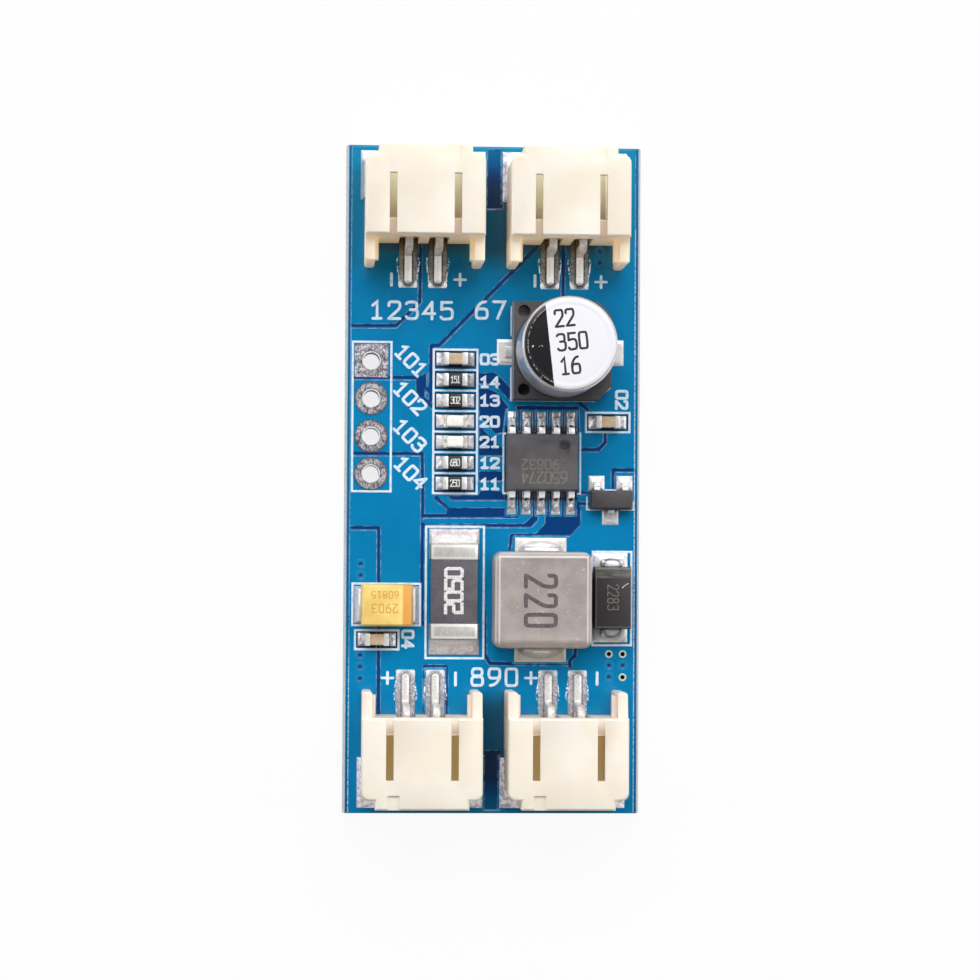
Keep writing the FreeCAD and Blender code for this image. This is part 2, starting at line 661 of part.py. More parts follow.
# Electrolytic capacitor
def make_electrolytic():
    """Can, moulded base and the two flat leads, with lands and solder."""
    base = block(BASE_SIDE, BASE_SIDE, BASE_HEIGHT, 0, 0, CAN_LEAD_THICKNESS)
    positive = [
        edge for edge in base.Edges
        if same(edge.CenterOfMass.x, BASE_SIDE / 2) and same(abs(edge.CenterOfMass.y), BASE_SIDE / 2)
    ]
    base = base.makeChamfer(BASE_CHAMFER, positive)
    floor = CAN_LEAD_THICKNESS + BASE_FLOOR
    well_radius = CAN_DIAMETER / 2 + CAN_SEAT_GAP
    base = base.cut(Part.makeCylinder(well_radius, BASE_HEIGHT - BASE_FLOOR, Vector(0, 0, floor)))
    dimple_x = -BASE_SIDE / 2 + BASE_DIMPLE_INSET_X
    dimple_y = BASE_SIDE / 2 - BASE_DIMPLE_INSET_Y
    dimple = Part.makeCylinder(BASE_DIMPLE / 2, BASE_HEIGHT - BASE_FLOOR, Vector(0, 0, floor))
    for y in (-dimple_y, dimple_y):
        cut = dimple.copy()
        cut.translate(Vector(dimple_x, y, 0))
        base = base.cut(cut)

    can = make_can(floor)
    lead_length = CAN_LEAD_REACH - CAN_LEAD_INNER
    lead_x = CAN_LEAD_INNER + lead_length / 2
    lead = block(lead_length, CAN_LEAD_WIDTH, CAN_LEAD_THICKNESS, lead_x)
    leads = [mirrored_x(lead), lead]
    land_length = CAN_LAND_REACH - CAN_LAND_INNER
    land_x = CAN_LAND_INNER + land_length / 2
    land = block(land_length, CAN_LAND_WIDTH, LAND_THICKNESS, land_x, 0, -LAND_THICKNESS)
    toe = quarter_turn(ramp(CAN_LEAD_WIDTH, CAN_LEAD_THICKNESS, CAN_LEAD_REACH), -90)
    return can, base, leads, [mirrored_x(land), land], [mirrored_x(toe), toe]


def make_can(floor):
    """Drawn can with a pressed neck above the base and a rounded top edge."""
    radius = CAN_DIAMETER / 2
    neck_low = CAN_NECK_Z - CAN_NECK_WIDTH / 2
    neck_high = CAN_NECK_Z + CAN_NECK_WIDTH / 2
    waist_low = CAN_NECK_Z - CAN_NECK_WAIST / 2
    waist_high = CAN_NECK_Z + CAN_NECK_WAIST / 2
    neck = radius - CAN_NECK_DEPTH
    shoulder = CAN_HEIGHT - CAN_EDGE
    half_turn = math.sqrt(0.5)
    edge_mid = Vector(radius - CAN_EDGE * (1 - half_turn), 0, shoulder + CAN_EDGE * half_turn)
    side = [
        Vector(0, 0, CAN_HEIGHT),
        Vector(0, 0, floor),
        Vector(radius, 0, floor),
        Vector(radius, 0, neck_low),
        Vector(neck, 0, waist_low),
        Vector(neck, 0, waist_high),
        Vector(radius, 0, neck_high),
        Vector(radius, 0, shoulder),
    ]
    top_start = Vector(radius - CAN_EDGE, 0, CAN_HEIGHT)
    edges = Part.makePolygon(side).Edges
    edges.append(Part.Arc(side[-1], edge_mid, top_start).toShape())
    edges.append(Part.LineSegment(top_start, side[0]).toShape())
    profile = Part.Face(Part.Wire(edges))
    return profile.revolve(Vector(0, 0, 0), Vector(0, 0, 1), 360)


# Gull-wing packages
def gull_wing(body_half, parting, reach, foot, thickness, width):
    """Lead from the body's side at y = body_half down to a foot that ends at y = reach."""
    knee = reach - foot
    points = [
        (body_half, parting),
        (knee, parting),
        (knee, thickness / 2),
        (reach, thickness / 2),
    ]
    return bent_strip(points, thickness, thickness * LEAD_BEND_RATIO, width, LEAD_BEND_SIDES)


def make_driver():
    """Ten-lead controller with its leads, lands and solder."""
    body = moulded_body(DRIVER_LENGTH, DRIVER_WIDTH, DRIVER_HEIGHT, DRIVER_STANDOFF)
    parting = (DRIVER_STANDOFF + DRIVER_HEIGHT) / 2
    dimple_x = DRIVER_LENGTH / 2 - DRIVER_DIMPLE_INSET
    dimple_y = DRIVER_WIDTH / 2 - DRIVER_DIMPLE_INSET
    dimple_z = DRIVER_HEIGHT - DRIVER_DIMPLE_DEPTH
    dimple = Part.makeCylinder(DRIVER_DIMPLE / 2, DRIVER_DIMPLE_DEPTH, Vector(dimple_x, dimple_y, dimple_z))
    body = body.cut(dimple)
    reach = DRIVER_SPAN / 2
    half = DRIVER_WIDTH / 2
    lead = gull_wing(half, parting, reach, DRIVER_FOOT, DRIVER_LEAD_THICKNESS, DRIVER_LEAD_WIDTH)
    land_y = DRIVER_LAND_SPAN / 2 - DRIVER_LAND_LENGTH / 2
    land = block(DRIVER_LAND_WIDTH, DRIVER_LAND_LENGTH, LAND_THICKNESS, 0, land_y, -LAND_THICKNESS)
    toe = ramp(DRIVER_LEAD_WIDTH, DRIVER_LEAD_THICKNESS, reach)
    sets = []
    for piece in (lead, land, toe):
        copies = []
        for place in range(DRIVER_ROW):
            x = (place - (DRIVER_ROW - 1) / 2) * DRIVER_PITCH
            for side in (piece, mirrored_y(piece)):
                copy = side.copy()
                copy.translate(Vector(x, 0, 0))
                copies.append(copy)
        sets.append(copies)
    return body, sets[0], sets[1], sets[2]


def make_switch():
    """Three-lead transistor, two leads towards +Y and one towards -Y."""
    body = moulded_body(SWITCH_LENGTH, SWITCH_WIDTH, SWITCH_HEIGHT, SWITCH_STANDOFF)
    parting = (SWITCH_STANDOFF + SWITCH_HEIGHT) / 2
    reach = SWITCH_SPAN / 2
    half = SWITCH_WIDTH / 2
    lead = gull_wing(half, parting, reach, SWITCH_FOOT, SWITCH_LEAD_THICKNESS, SWITCH_LEAD_WIDTH)
    land_y = SWITCH_LAND_SPAN / 2 - SWITCH_LAND_LENGTH / 2
    land = block(SWITCH_LAND_WIDTH, SWITCH_LAND_LENGTH, LAND_THICKNESS, 0, land_y, -LAND_THICKNESS)
    toe = ramp(SWITCH_LEAD_WIDTH, SWITCH_LEAD_THICKNESS, reach)
    sets = []
    for piece in (lead, land, toe):
        copies = [mirrored_y(piece)]
        for x in (-SWITCH_PITCH / 2, SWITCH_PITCH / 2):
            copy = piece.copy()
            copy.translate(Vector(x, 0, 0))
            copies.append(copy)
        sets.append(copies)
    return body, sets[0], sets[1], sets[2]


# Two-terminal moulded packages, long axis on Y
def folded_lead(body_half, exit_z, out, fold, thickness, width):
    """Lead that leaves the end of a body, drops outside it and folds back underneath."""
    drop = body_half + out + thickness / 2
    points = [
        (body_half, exit_z),
        (drop, exit_z),
        (drop, thickness / 2),
        (body_half - fold, thickness / 2),
    ]
    inner_radius = min(out, thickness) * LEAD_BEND_RATIO
    return bent_strip(points, thickness, inner_radius, width, LEAD_BEND_SIDES)


def two_lead_set(lead, exit_z, land_width, land_span, land_length, wall):
    """Both leads with their lands and the solder against the outside of each drop."""
    land_y = land_span / 2 - land_length / 2
    land = block(land_width, land_length, LAND_THICKNESS, 0, land_y, -LAND_THICKNESS)
    toe = ramp(lead.BoundBox.XLength, exit_z * SOLDER_CLIMB, wall)
    leads = [lead, mirrored_y(lead)]
    lands = [land, mirrored_y(land)]
    solder = [toe, mirrored_y(toe)]
    return leads, lands, solder


def make_diode():
    """Rectifier with its leads, lands and solder."""
    body = moulded_body(DIODE_WIDTH, DIODE_LENGTH, DIODE_HEIGHT, DIODE_STANDOFF)
    parting = (DIODE_STANDOFF + DIODE_HEIGHT) / 2
    half = DIODE_LENGTH / 2
    lead = folded_lead(
        half, parting, DIODE_LEAD_OUT, DIODE_LEAD_FOLD, DIODE_LEAD_THICKNESS, DIODE_LEAD_WIDTH
    )
    wall = half + DIODE_LEAD_OUT + DIODE_LEAD_THICKNESS
    rest = two_lead_set(lead, parting, DIODE_LAND_WIDTH, DIODE_LAND_SPAN, DIODE_LAND_LENGTH, wall)
    return (body,) + rest


def make_tantalum():
    """Tantalum capacitor with its leads, lands and solder."""
    body = moulded_body(TANTALUM_WIDTH, TANTALUM_LENGTH, TANTALUM_HEIGHT, TANTALUM_STANDOFF)
    parting = (TANTALUM_STANDOFF + TANTALUM_HEIGHT) / 2
    half = TANTALUM_LENGTH / 2
    lead = folded_lead(
        half, parting, TANTALUM_LEAD_OUT, TANTALUM_LEAD_FOLD, TANTALUM_LEAD_THICKNESS, TANTALUM_LEAD_WIDTH
    )
    wall = half + TANTALUM_LEAD_OUT + TANTALUM_LEAD_THICKNESS
    rest = two_lead_set(
        lead, parting, TANTALUM_LAND_WIDTH, TANTALUM_LAND_SPAN, TANTALUM_LAND_LENGTH, wall
    )
    return (body,) + rest


def make_inductor():
    """Moulded inductor with a bevelled top rim, and its folded terminals."""
    height = INDUCTOR_HEIGHT - INDUCTOR_STANDOFF
    body = block(INDUCTOR_WIDTH, INDUCTOR_LENGTH, height, 0, 0, INDUCTOR_STANDOFF)
    middle = INDUCTOR_STANDOFF + height / 2
    upright = [edge for edge in body.Edges if same(edge.CenterOfMass.z, middle)]
    body = body.makeFillet(INDUCTOR_CORNER, upright)
    rim = [edge for edge in body.Edges if same(edge.BoundBox.ZMin, INDUCTOR_HEIGHT)]
    body = body.makeChamfer(INDUCTOR_RIM_HEIGHT, INDUCTOR_RIM, rim)
    half = INDUCTOR_LENGTH / 2
    lead = folded_lead(
        half,
        INDUCTOR_TERMINAL_Z,
        INDUCTOR_TERMINAL_OUT,
        INDUCTOR_TERMINAL_FOLD,
        INDUCTOR_TERMINAL_THICKNESS,
        INDUCTOR_TERMINAL_WIDTH,
    )
    wall = half + INDUCTOR_TERMINAL_OUT + INDUCTOR_TERMINAL_THICKNESS
    rest = two_lead_set(
        lead, INDUCTOR_TERMINAL_Z, INDUCTOR_LAND_WIDTH, INDUCTOR_LAND_SPAN, INDUCTOR_LAND_LENGTH, wall
    )
    return (body,) + rest


# Chips, long axis on X
def make_chip(length, width, height, cap, plate, wrapped):
    """Ceramic block with plated ends. Wrapped caps cover the sides as well as top and bottom."""
    core_width = width - 2 * plate if wrapped else width
    core = block(length - 2 * plate, core_width, height - 2 * plate, 0, 0, plate)
    slab = block(cap, width, height, length / 2 - cap / 2)
    end = slab.cut(core)
    return core, [mirrored_x(end), end]


def chip_lands(land_width, land_span, land_length):
    """Pair of lands under a chip."""
    land_x = land_span / 2 - land_length / 2
    land = block(land_length, land_width, LAND_THICKNESS, land_x, 0, -LAND_THICKNESS)
    return [mirrored_x(land), land]


def chip_solder(length, width, rise, run=SOLDER_RUN):
    """Ramps up both ends of a chip."""
    toe = quarter_turn(ramp(width, rise, length / 2, run), -90)
    return [mirrored_x(toe), toe]


def make_lamp():
    """Light-emitting chip: base with hollowed ends, plated ends and a drafted clear lens."""
    notch = Part.makeCylinder(LAMP_CASTELLATION / 2, LAMP_BASE_HEIGHT, Vector(CHIP_LENGTH / 2, 0, 0))
    end_length = (CHIP_LENGTH - LAMP_LENS_LENGTH) / 2
    base = block(LAMP_LENS_LENGTH, CHIP_WIDTH, LAMP_BASE_HEIGHT)
    end = block(end_length, CHIP_WIDTH, LAMP_BASE_HEIGHT, CHIP_LENGTH / 2 - end_length / 2)
    end = end.cut(notch)
    lens = slab_between(
        LAMP_LENS_LENGTH,
        CHIP_WIDTH,
        LAMP_BASE_HEIGHT,
        LAMP_LENS_LENGTH - 2 * LAMP_LENS_DRAFT,
        CHIP_WIDTH - 2 * LAMP_LENS_DRAFT,
        LAMP_BASE_HEIGHT + LAMP_LENS_HEIGHT,
    )
    return base, [mirrored_x(end), end], lens


# Build every sub-part
os.makedirs("parts", exist_ok=True)

all_lands = []
all_solder = []

board, eyelets = make_board()
save("board", board)
save("header_eyelets", group(eyelets))

housing, contacts, tabs, socket_lands, socket_ramps = make_socket()
socket_places = {
    "supply_socket_left": (-SOCKET_OFFSET_X, REAR_WALL_Y, 0),
    "supply_socket_right": (SOCKET_OFFSET_X, REAR_WALL_Y, 0),
    "battery_socket_left": (-SOCKET_OFFSET_X, -REAR_WALL_Y, 180),
    "battery_socket_right": (SOCKET_OFFSET_X, -REAR_WALL_Y, 180),
}
for name, (x, y, turn) in socket_places.items():
    save(name + "_housing", placed(housing, x, y, turn))
    save(name + "_contact_a", placed(contacts[0], x, y, turn))
    save(name + "_contact_b", placed(contacts[1], x, y, turn))
    save(name + "_tabs", group([placed(tab, x, y, turn) for tab in tabs]))
    all_lands += [placed(land, x, y, turn) for land in socket_lands]
    all_solder += [placed(drop, x, y, turn) for drop in socket_ramps]

can, base, can_leads, can_lands, can_solder = make_electrolytic()
save("electrolytic_can", placed(can, CAN_X, CAN_Y))
save("electrolytic_base", placed(base, CAN_X, CAN_Y))
save("electrolytic_leads", group([placed(lead, CAN_X, CAN_Y) for lead in can_leads]))
all_lands += [placed(land, CAN_X, CAN_Y) for land in can_lands]
all_solder += [placed(drop, CAN_X, CAN_Y) for drop in can_solder]

packages = (
    ("charge_controller", make_driver, DRIVER_X, DRIVER_Y, 0),
    ("switch_transistor", make_switch, SWITCH_X, SWITCH_Y, 0),
    ("rectifier", make_diode, DIODE_X, DIODE_Y, 0),
    ("inductor", make_inductor, INDUCTOR_X, INDUCTOR_Y, 0),
    ("tantalum", make_tantalum, TANTALUM_X, TANTALUM_Y, 90),
)
for name, maker, x, y, turn in packages:
    body, leads, lands, solder = maker()
    save(name + "_body", placed(body, x, y, turn))
    save(name + "_leads", group([placed(lead, x, y, turn) for lead in leads]))
    all_lands += [placed(land, x, y, turn) for land in lands]
    all_solder += [placed(drop, x, y, turn) for drop in solder]

shunt, shunt_ends = make_chip(SHUNT_LENGTH, SHUNT_WIDTH, SHUNT_HEIGHT, SHUNT_TERMINAL, SHUNT_PLATE, False)
shunt_lands = chip_lands(SHUNT_LAND_WIDTH, SHUNT_LAND_SPAN, SHUNT_LAND_LENGTH)
shunt_solder = chip_solder(SHUNT_LENGTH, SHUNT_WIDTH, SHUNT_HEIGHT * SOLDER_CLIMB, SHUNT_SOLDER_RUN)
save("sense_resistor_body", placed(shunt, SHUNT_X, SHUNT_Y, 90))
save("sense_resistor_terminals", group([placed(end, SHUNT_X, SHUNT_Y, 90) for end in shunt_ends]))
all_lands += [placed(land, SHUNT_X, SHUNT_Y, 90) for land in shunt_lands]
all_solder += [placed(drop, SHUNT_X, SHUNT_Y, 90) for drop in shunt_solder]

chip_places = {"C2": (C2_X, C2_Y), "C4": (C4_X, C4_Y)}
for row, name in enumerate(COLUMN_ROWS):
    chip_places[name] = (CHIP_COLUMN_X, CHIP_COLUMN_TOP_Y - row * CHIP_ROW_PITCH)
for name, (x, y) in chip_places.items():
    lands = chip_lands(CHIP_LAND_WIDTH, CHIP_LAND_SPAN, CHIP_LAND_LENGTH)
    all_lands += [placed(land, x, y) for land in lands]
    if name.endswith("lamp"):
        base, ends, lens = make_lamp()
        save(name + "_base", placed(base, x, y))
        save(name + "_terminals", group([placed(end, x, y) for end in ends]))
        save(name + "_lens", placed(lens, x, y))
        drops = chip_solder(CHIP_LENGTH, CHIP_WIDTH, LAMP_BASE_HEIGHT * SOLDER_CLIMB)
        clearing = block(CHIP_LENGTH + LAMP_CASTELLATION, LAMP_CASTELLATION, LAMP_BASE_HEIGHT)
        drops = [drop.cut(clearing) for drop in drops]
    else:
        height = CERAMIC_HEIGHT if name.startswith("C") else RESISTOR_HEIGHT
        kind = "capacitor_" if name.startswith("C") else "resistor_"
        core, ends = make_chip(CHIP_LENGTH, CHIP_WIDTH, height, CHIP_CAP, CHIP_PLATE, name.startswith("C"))
        save(kind + name.lower() + "_body", placed(core, x, y))
        save(kind + name.lower() + "_terminals", group([placed(end, x, y) for end in ends]))
        drops = chip_solder(CHIP_LENGTH, CHIP_WIDTH, height * SOLDER_CLIMB)
    all_solder += [placed(drop, x, y) for drop in drops]

save("solder_lands", group(all_lands))
save("solder_fillets", group(all_solder))
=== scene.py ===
# %% [markdown]
# # A charger module for one lithium cell
#
# The real object is a narrow blue circuit board with four wire sockets, a row of plated holes, a
# power inductor, a tall capacitor can and some twenty small parts soldered on top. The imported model
# already has every piece at its size and place. This script adds what a designer's solids leave
# out: copper under the mask, printed lines, solder, rounded edges and the finish of each surface.
# Lengths are written in millimetres, with the origin in the middle of the board's underside.

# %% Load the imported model
import math

import bmesh
import bpy
import numpy as np
from mathutils import Matrix, Vector


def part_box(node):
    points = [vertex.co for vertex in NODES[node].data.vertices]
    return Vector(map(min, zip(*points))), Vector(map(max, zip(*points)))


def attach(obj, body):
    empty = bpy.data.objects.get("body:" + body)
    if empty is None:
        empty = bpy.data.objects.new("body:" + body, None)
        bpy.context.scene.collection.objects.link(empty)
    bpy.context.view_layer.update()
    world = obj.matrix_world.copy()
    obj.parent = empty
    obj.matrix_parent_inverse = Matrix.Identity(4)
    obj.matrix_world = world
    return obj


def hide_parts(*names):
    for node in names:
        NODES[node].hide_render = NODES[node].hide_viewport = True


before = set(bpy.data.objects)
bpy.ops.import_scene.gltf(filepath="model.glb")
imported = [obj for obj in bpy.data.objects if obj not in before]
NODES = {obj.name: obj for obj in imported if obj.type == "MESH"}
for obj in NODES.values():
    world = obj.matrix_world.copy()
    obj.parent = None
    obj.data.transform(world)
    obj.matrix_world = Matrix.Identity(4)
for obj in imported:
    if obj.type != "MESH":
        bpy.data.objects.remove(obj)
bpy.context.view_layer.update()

MM = 0.001
BOARD_TOP = 1.6
LAND_TOP = 1.65
SUNK = 0.004


# %% Read a node's box in millimetres
def box_mm(node):
    """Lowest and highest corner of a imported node, as arrays in millimetres."""
    low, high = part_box(node)
    return np.array(low) / MM, np.array(high) / MM


BOARD_LOW, BOARD_HIGH = box_mm("board")
print("board", np.round(BOARD_LOW, 3), np.round(BOARD_HIGH, 3))

# %% [markdown]
# ## The camera
#
# The photograph looks straight down from about 19 cm, from a little left of and below the middle,
# so the tall parts show their left and lower sides. A camera can be aimed by eye, or it can be
# worked out from points whose places are known. Here the header's holes and the sockets' corners
# gave the place, the turn and the focal length, so a few plain numbers hold the result.

# %% Place the camera
CAMERA_PLACE = np.array([-11.254, -6.333, 193.563])
CAMERA_TURN = np.radians([-1.653, 3.309, -0.369])
SENSOR_WIDTH = 36.0
FOCAL_PIXELS = 2850.8
PICTURE_WIDTH = 980

scene = bpy.context.scene
scene.view_settings.view_transform = "Standard"
camera = bpy.data.objects.new("camera", bpy.data.cameras.new("camera"))
camera.data.sensor_fit = "HORIZONTAL"
camera.data.sensor_width = SENSOR_WIDTH
camera.data.lens = SENSOR_WIDTH * FOCAL_PIXELS / PICTURE_WIDTH
camera.data.clip_start = 0.01
turn_angle = float(np.linalg.norm(CAMERA_TURN))
world_to_camera = Matrix.Rotation(turn_angle, 4, Vector(CAMERA_TURN / turn_angle))
camera.matrix_world = Matrix.Translation(Vector(CAMERA_PLACE * MM)) @ world_to_camera.inverted()
scene.collection.objects.link(camera)
scene.camera = camera
print("lens", round(camera.data.lens, 2), "mm")

# %% [markdown]
# ## Writing shader maths as Python
#
# A finish is a graph of nodes. Adding and linking each by hand hides what the graph computes. The
# two small classes below let a mask be written as an expression: a Wire wraps one socket and each
# of Python's operators adds the Math node that it stands for, and a Finish makes any other node
# from its type, its settings and the values or links of its sockets.


# %% Let sockets take part in sums
class Wire:
    """One output socket that takes part in Python expressions on values."""

    def __init__(self, finish, socket):
        self.finish = finish
        self.socket = socket

    def math(self, operation, *values):
        return self.finish.node("ShaderNodeMath", {"operation": operation}, dict(enumerate(values)))

    def __add__(self, other):
        return self.math("ADD", self, other)

    def __sub__(self, other):
        return self.math("SUBTRACT", self, other)

    def __rsub__(self, other):
        return self.math("SUBTRACT", other, self)

    def __mul__(self, other):
        return self.math("MULTIPLY", self, other)

    def __truediv__(self, other):
        return self.math("DIVIDE", self, other)

    def __pow__(self, other):
        return self.math("POWER", self, other)

    def __neg__(self):
        return self.math("MULTIPLY", self, -1.0)

    def __abs__(self):
        return self.math("ABSOLUTE", self)

    __radd__ = __add__
    __rmul__ = __mul__

    def smallest(self, other):
        return self.math("MINIMUM", self, other)

    def largest(self, other):
        return self.math("MAXIMUM", self, other)

    def step(self, low, high, start=0.0, end=1.0):
        """Rises smoothly from start to end while the value goes from low to high."""
        settings = {"interpolation_type": "SMOOTHSTEP"}
        values = {"Value": self, "From Min": low, "From Max": high, "To Min": start, "To Max": end}
        return self.finish.node("ShaderNodeMapRange", settings, values)

    def fall(self, low, high):
        """Falls smoothly from 1 to 0 while the value goes from low to high."""
        return self.step(low, high, 1.0, 0.0)


print("wires ready")


# %% Build a material around its shader
class Finish:
    """A material around one Principled shader. Lengths in it are millimetres on the object."""

    def __init__(self, name, **constants):
        self.material = bpy.data.materials.new(name)
        self.material.use_nodes = True
        self.tree = self.material.node_tree
        self.shader = self.tree.nodes["Principled BSDF"]
        for socket, value in constants.items():
            self.shader.inputs[socket.replace("_", " ")].default_value = value

    def node(self, kind, settings=None, values=None, output=0):
        """Adds one node: its settings first, then a number, colour or link for each socket."""
        made = self.tree.nodes.new(kind)
        for name, value in (settings or {}).items():
            setattr(made, name, value)
        for key, value in (values or {}).items():
            self.feed(made.inputs[key], value)
        return Wire(self, made.outputs[output])

    def feed(self, socket, value):
        if isinstance(value, Wire):
            self.tree.links.new(value.socket, socket)
        else:
            socket.default_value = value

    def set(self, socket, value):
        """Feeds one socket of the Principled shader."""
        self.feed(self.shader.inputs[socket], value)
        return self

    def place(self):
        """The point's place on the object, in millimetres, as three wires."""
        if not hasattr(self, "axes"):
            point = self.node("ShaderNodeTexCoord", {}, {}, "Object")
            values = {0: point, "Scale": 1 / MM}
            self.point = self.node("ShaderNodeVectorMath", {"operation": "SCALE"}, values)
            split = self.node("ShaderNodeSeparateXYZ", {}, {0: self.point}).socket.node
            self.axes = tuple(Wire(self, output) for output in split.outputs)
        return self.axes

    def noise(self, grain, detail=2.0, rough=0.5, stretch=(1.0, 1.0, 1.0)):
        """Cloudy noise whose lumps are grain millimetres across, from about 0.3 to 0.7."""
        self.place()
        spread = self.node("ShaderNodeVectorMath", {"operation": "MULTIPLY"}, {0: self.point, 1: stretch})
        values = {"Vector": spread, "Scale": 1 / grain, "Detail": detail, "Roughness": rough}
        return self.node("ShaderNodeTexNoise", {"noise_dimensions": "3D"}, values, 0)

    def at_supply(self):
        """One on the supply sockets' half of the board, nought on the battery sockets' half."""
        return self.place()[1].step(-0.1, 0.1)

    def wrap(self, value, pitch):
        """Value folded into one pitch, from minus half of it to plus half, for things in a row."""
        return self.node("ShaderNodeMath", {"operation": "WRAP"}, {0: value, 1: pitch / 2, 2: -pitch / 2})

    def carried(self, name):
        """A number that the mesh carries at each of its points."""
        return self.node("ShaderNodeAttribute", {"attribute_name": name}, {}, "Fac")

    def blend(self, share, first, second):
        """Colour that goes from first to second as share goes from 0 to 1."""
        settings = {"data_type": "RGBA"}
        return self.node("ShaderNodeMix", settings, {0: share, 6: colour(first), 7: colour(second)}, 2)

    def layers(self, tone, *coats):
        """A tone and what lies over it, from below to above: for each layer its share and its colour."""
        for share, layer in coats:
            tone = self.blend(share, tone, layer)
        return tone

    def paint(self, tone, *coats):
        """Base colour from a tone and the layers over it."""
        return self.set("Base Color", self.layers(tone, *coats))

    def roughen(self, grains, low, high):
        """Roughness that goes from low to high with a noise."""
        return self.set("Roughness", grains.step(0.3, 0.7, low, high))

    def glow(self, tone):
        """Light that the surface gives off by itself, though it is no lamp: painted light."""
        self.shader.inputs["Emission Strength"].default_value = 1.0
        return self.set("Emission Color", tone)

    def relief(self, height_mm):
        """Bump from a height in millimetres."""
        values = {"Height": height_mm * MM, "Strength": 1.0, "Distance": 1.0}
        return self.set("Normal", self.node("ShaderNodeBump", {}, values))


def colour(value):
    """A link as it is, or three numbers with full opacity."""
    return value if isinstance(value, Wire) else tuple(value) + (1.0,)


def oval(across, along, half_across=1.0, half_along=1.0):
    """Distance from the middle as a share of an ellipse's own: one on its outline."""
    return ((across / half_across) ** 2.0 + (along / half_along) ** 2.0) ** 0.5


BLACK = (0.0, 0.0, 0.0)
print("shader words ready")

# %% [markdown]
# ## Floor and light
#
# The photograph is a studio picture on white: soft light from all round, stronger from beyond the
# supply sockets, so edges that face that way shine and walls that face the viewer are duller. The
# world gives the soft part. It is dark straight above, as the camera hides the tent there, and that
# keeps the glossy mask deep blue. One wide lamp and two narrow ones do the rest. The floor is pale
# and takes the shadow, and adds white only for rays that come from the camera or pass through a
# clear surface.

# %% Light the scene
WORLD_UP = [(0.0, 0.30), (0.10, 0.75), (0.5, 1.0), (0.90, 1.0), (0.985, 0.06)]
WORLD_BEYOND = [(0.22, 0.15), (0.50, 0.58), (0.72, 1.0)]

world = bpy.data.worlds.new("tent")
world.use_nodes = True
scene.world = world
world_nodes, links = world.node_tree.nodes, world.node_tree.links
split = world_nodes.new("ShaderNodeSeparateXYZ")
links.new(world_nodes.new("ShaderNodeTexCoord").outputs["Generated"], split.inputs[0])


def world_ramp(source, stops):
    """Grey level by one part of the direction: a list of places from 0 to 1 and levels."""
    ramp = world_nodes.new("ShaderNodeValToRGB")
    while len(ramp.color_ramp.elements) < len(stops):
        ramp.color_ramp.elements.new(0.5)
    for element, (place, level) in zip(ramp.color_ramp.elements, stops):
        element.position = place
        element.color = (level, level, level, 1.0)
    links.new(source, ramp.inputs[0])
    return ramp.outputs[0]


halfway = world_nodes.new("ShaderNodeMath")
halfway.operation = "MULTIPLY_ADD"
halfway.inputs[1].default_value = halfway.inputs[2].default_value = 0.5
links.new(split.outputs["Y"], halfway.inputs[0])
both = world_nodes.new("ShaderNodeVectorMath")
both.operation = "MULTIPLY"
links.new(world_ramp(split.outputs["Z"], WORLD_UP), both.inputs[0])
links.new(world_ramp(halfway.outputs[0], WORLD_BEYOND), both.inputs[1])
background = world_nodes["Background"]
links.new(both.outputs[0], background.inputs["Color"])
background.inputs["Strength"].default_value = 1.0
print("world has", len(world_nodes), "nodes")


# %% Set the lamps
def soft_lamp(name, place, size, level):
    """Rectangular lamp that looks at the origin from a place in millimetres, with that radiance."""
    lamp = bpy.data.lights.new(name, "AREA")
    lamp.shape = "RECTANGLE"
    lamp.size = size[0] * MM
    lamp.size_y = size[1] * MM
    lamp.energy = level * math.pi * lamp.size * lamp.size_y
    holder = bpy.data.objects.new(name, lamp)
    turn = (-Vector(place)).to_track_quat("-Z", "Y").to_matrix().to_4x4()
    holder.matrix_world = Matrix.Translation(Vector(place) * MM) @ turn
    scene.collection.objects.link(holder)


LAMPS = [
    ("lamp_beyond", (0, 220, 290), (340, 200), 3.7),
    ("lamp_right", (300, 10, 170), (60, 240), 3.0),
    ("lamp_left", (-300, 40, 170), (60, 240), 2.4),
]
for lamp_row in LAMPS:
    soft_lamp(*lamp_row)
print(len(LAMPS), "lamps set")

# %% Lay the floor
FLOOR_HALF = 1500.0
FLOOR_WHITE = (0.86, 0.86, 0.87)
FLOOR_CLOUD = (0.88, 0.88, 0.88)
CAMERA_SHARE = 0.93
UNDER_SHARE = 0.12

floor_finish = Finish("floor", Roughness=0.9)
floor_finish.paint(FLOOR_WHITE, (floor_finish.noise(40.0), FLOOR_CLOUD))
ray = floor_finish.tree.nodes.new("ShaderNodeLightPath")
seen = Wire(floor_finish, ray.outputs["Is Camera Ray"])
seen = seen.largest(Wire(floor_finish, ray.outputs["Is Transmission Ray"]))
lit = Wire(floor_finish, floor_finish.shader.outputs[0])
white = floor_finish.node("ShaderNodeEmission", {}, {"Color": colour((1.0, 1.0, 1.0)), "Strength": 1.0})
x, y, z = floor_finish.place()
# Under the board less white is added, so the floor shows darker there: painted shade.
under_board = abs(x).fall(9.4, 9.8) * abs(y).fall(22.0, 22.4)
share = seen * (CAMERA_SHARE - under_board * UNDER_SHARE)
shown = floor_finish.node("ShaderNodeMixShader", {}, {0: share, 1: lit, 2: white})
surface = floor_finish.tree.nodes["Material Output"].inputs["Surface"]
floor_finish.tree.links.new(shown.socket, surface)

floor_mesh = bpy.data.meshes.new("floor")
corners = np.array([[-1, -1, 0], [1, -1, 0], [1, 1, 0], [-1, 1, 0]]) * FLOOR_HALF * MM
floor_mesh.from_pydata(corners.tolist(), [], [[0, 1, 2, 3]])
floor_mesh.materials.append(floor_finish.material)
floor = bpy.data.objects.new("floor", floor_mesh)
scene.collection.objects.link(floor)
print("floor ready")

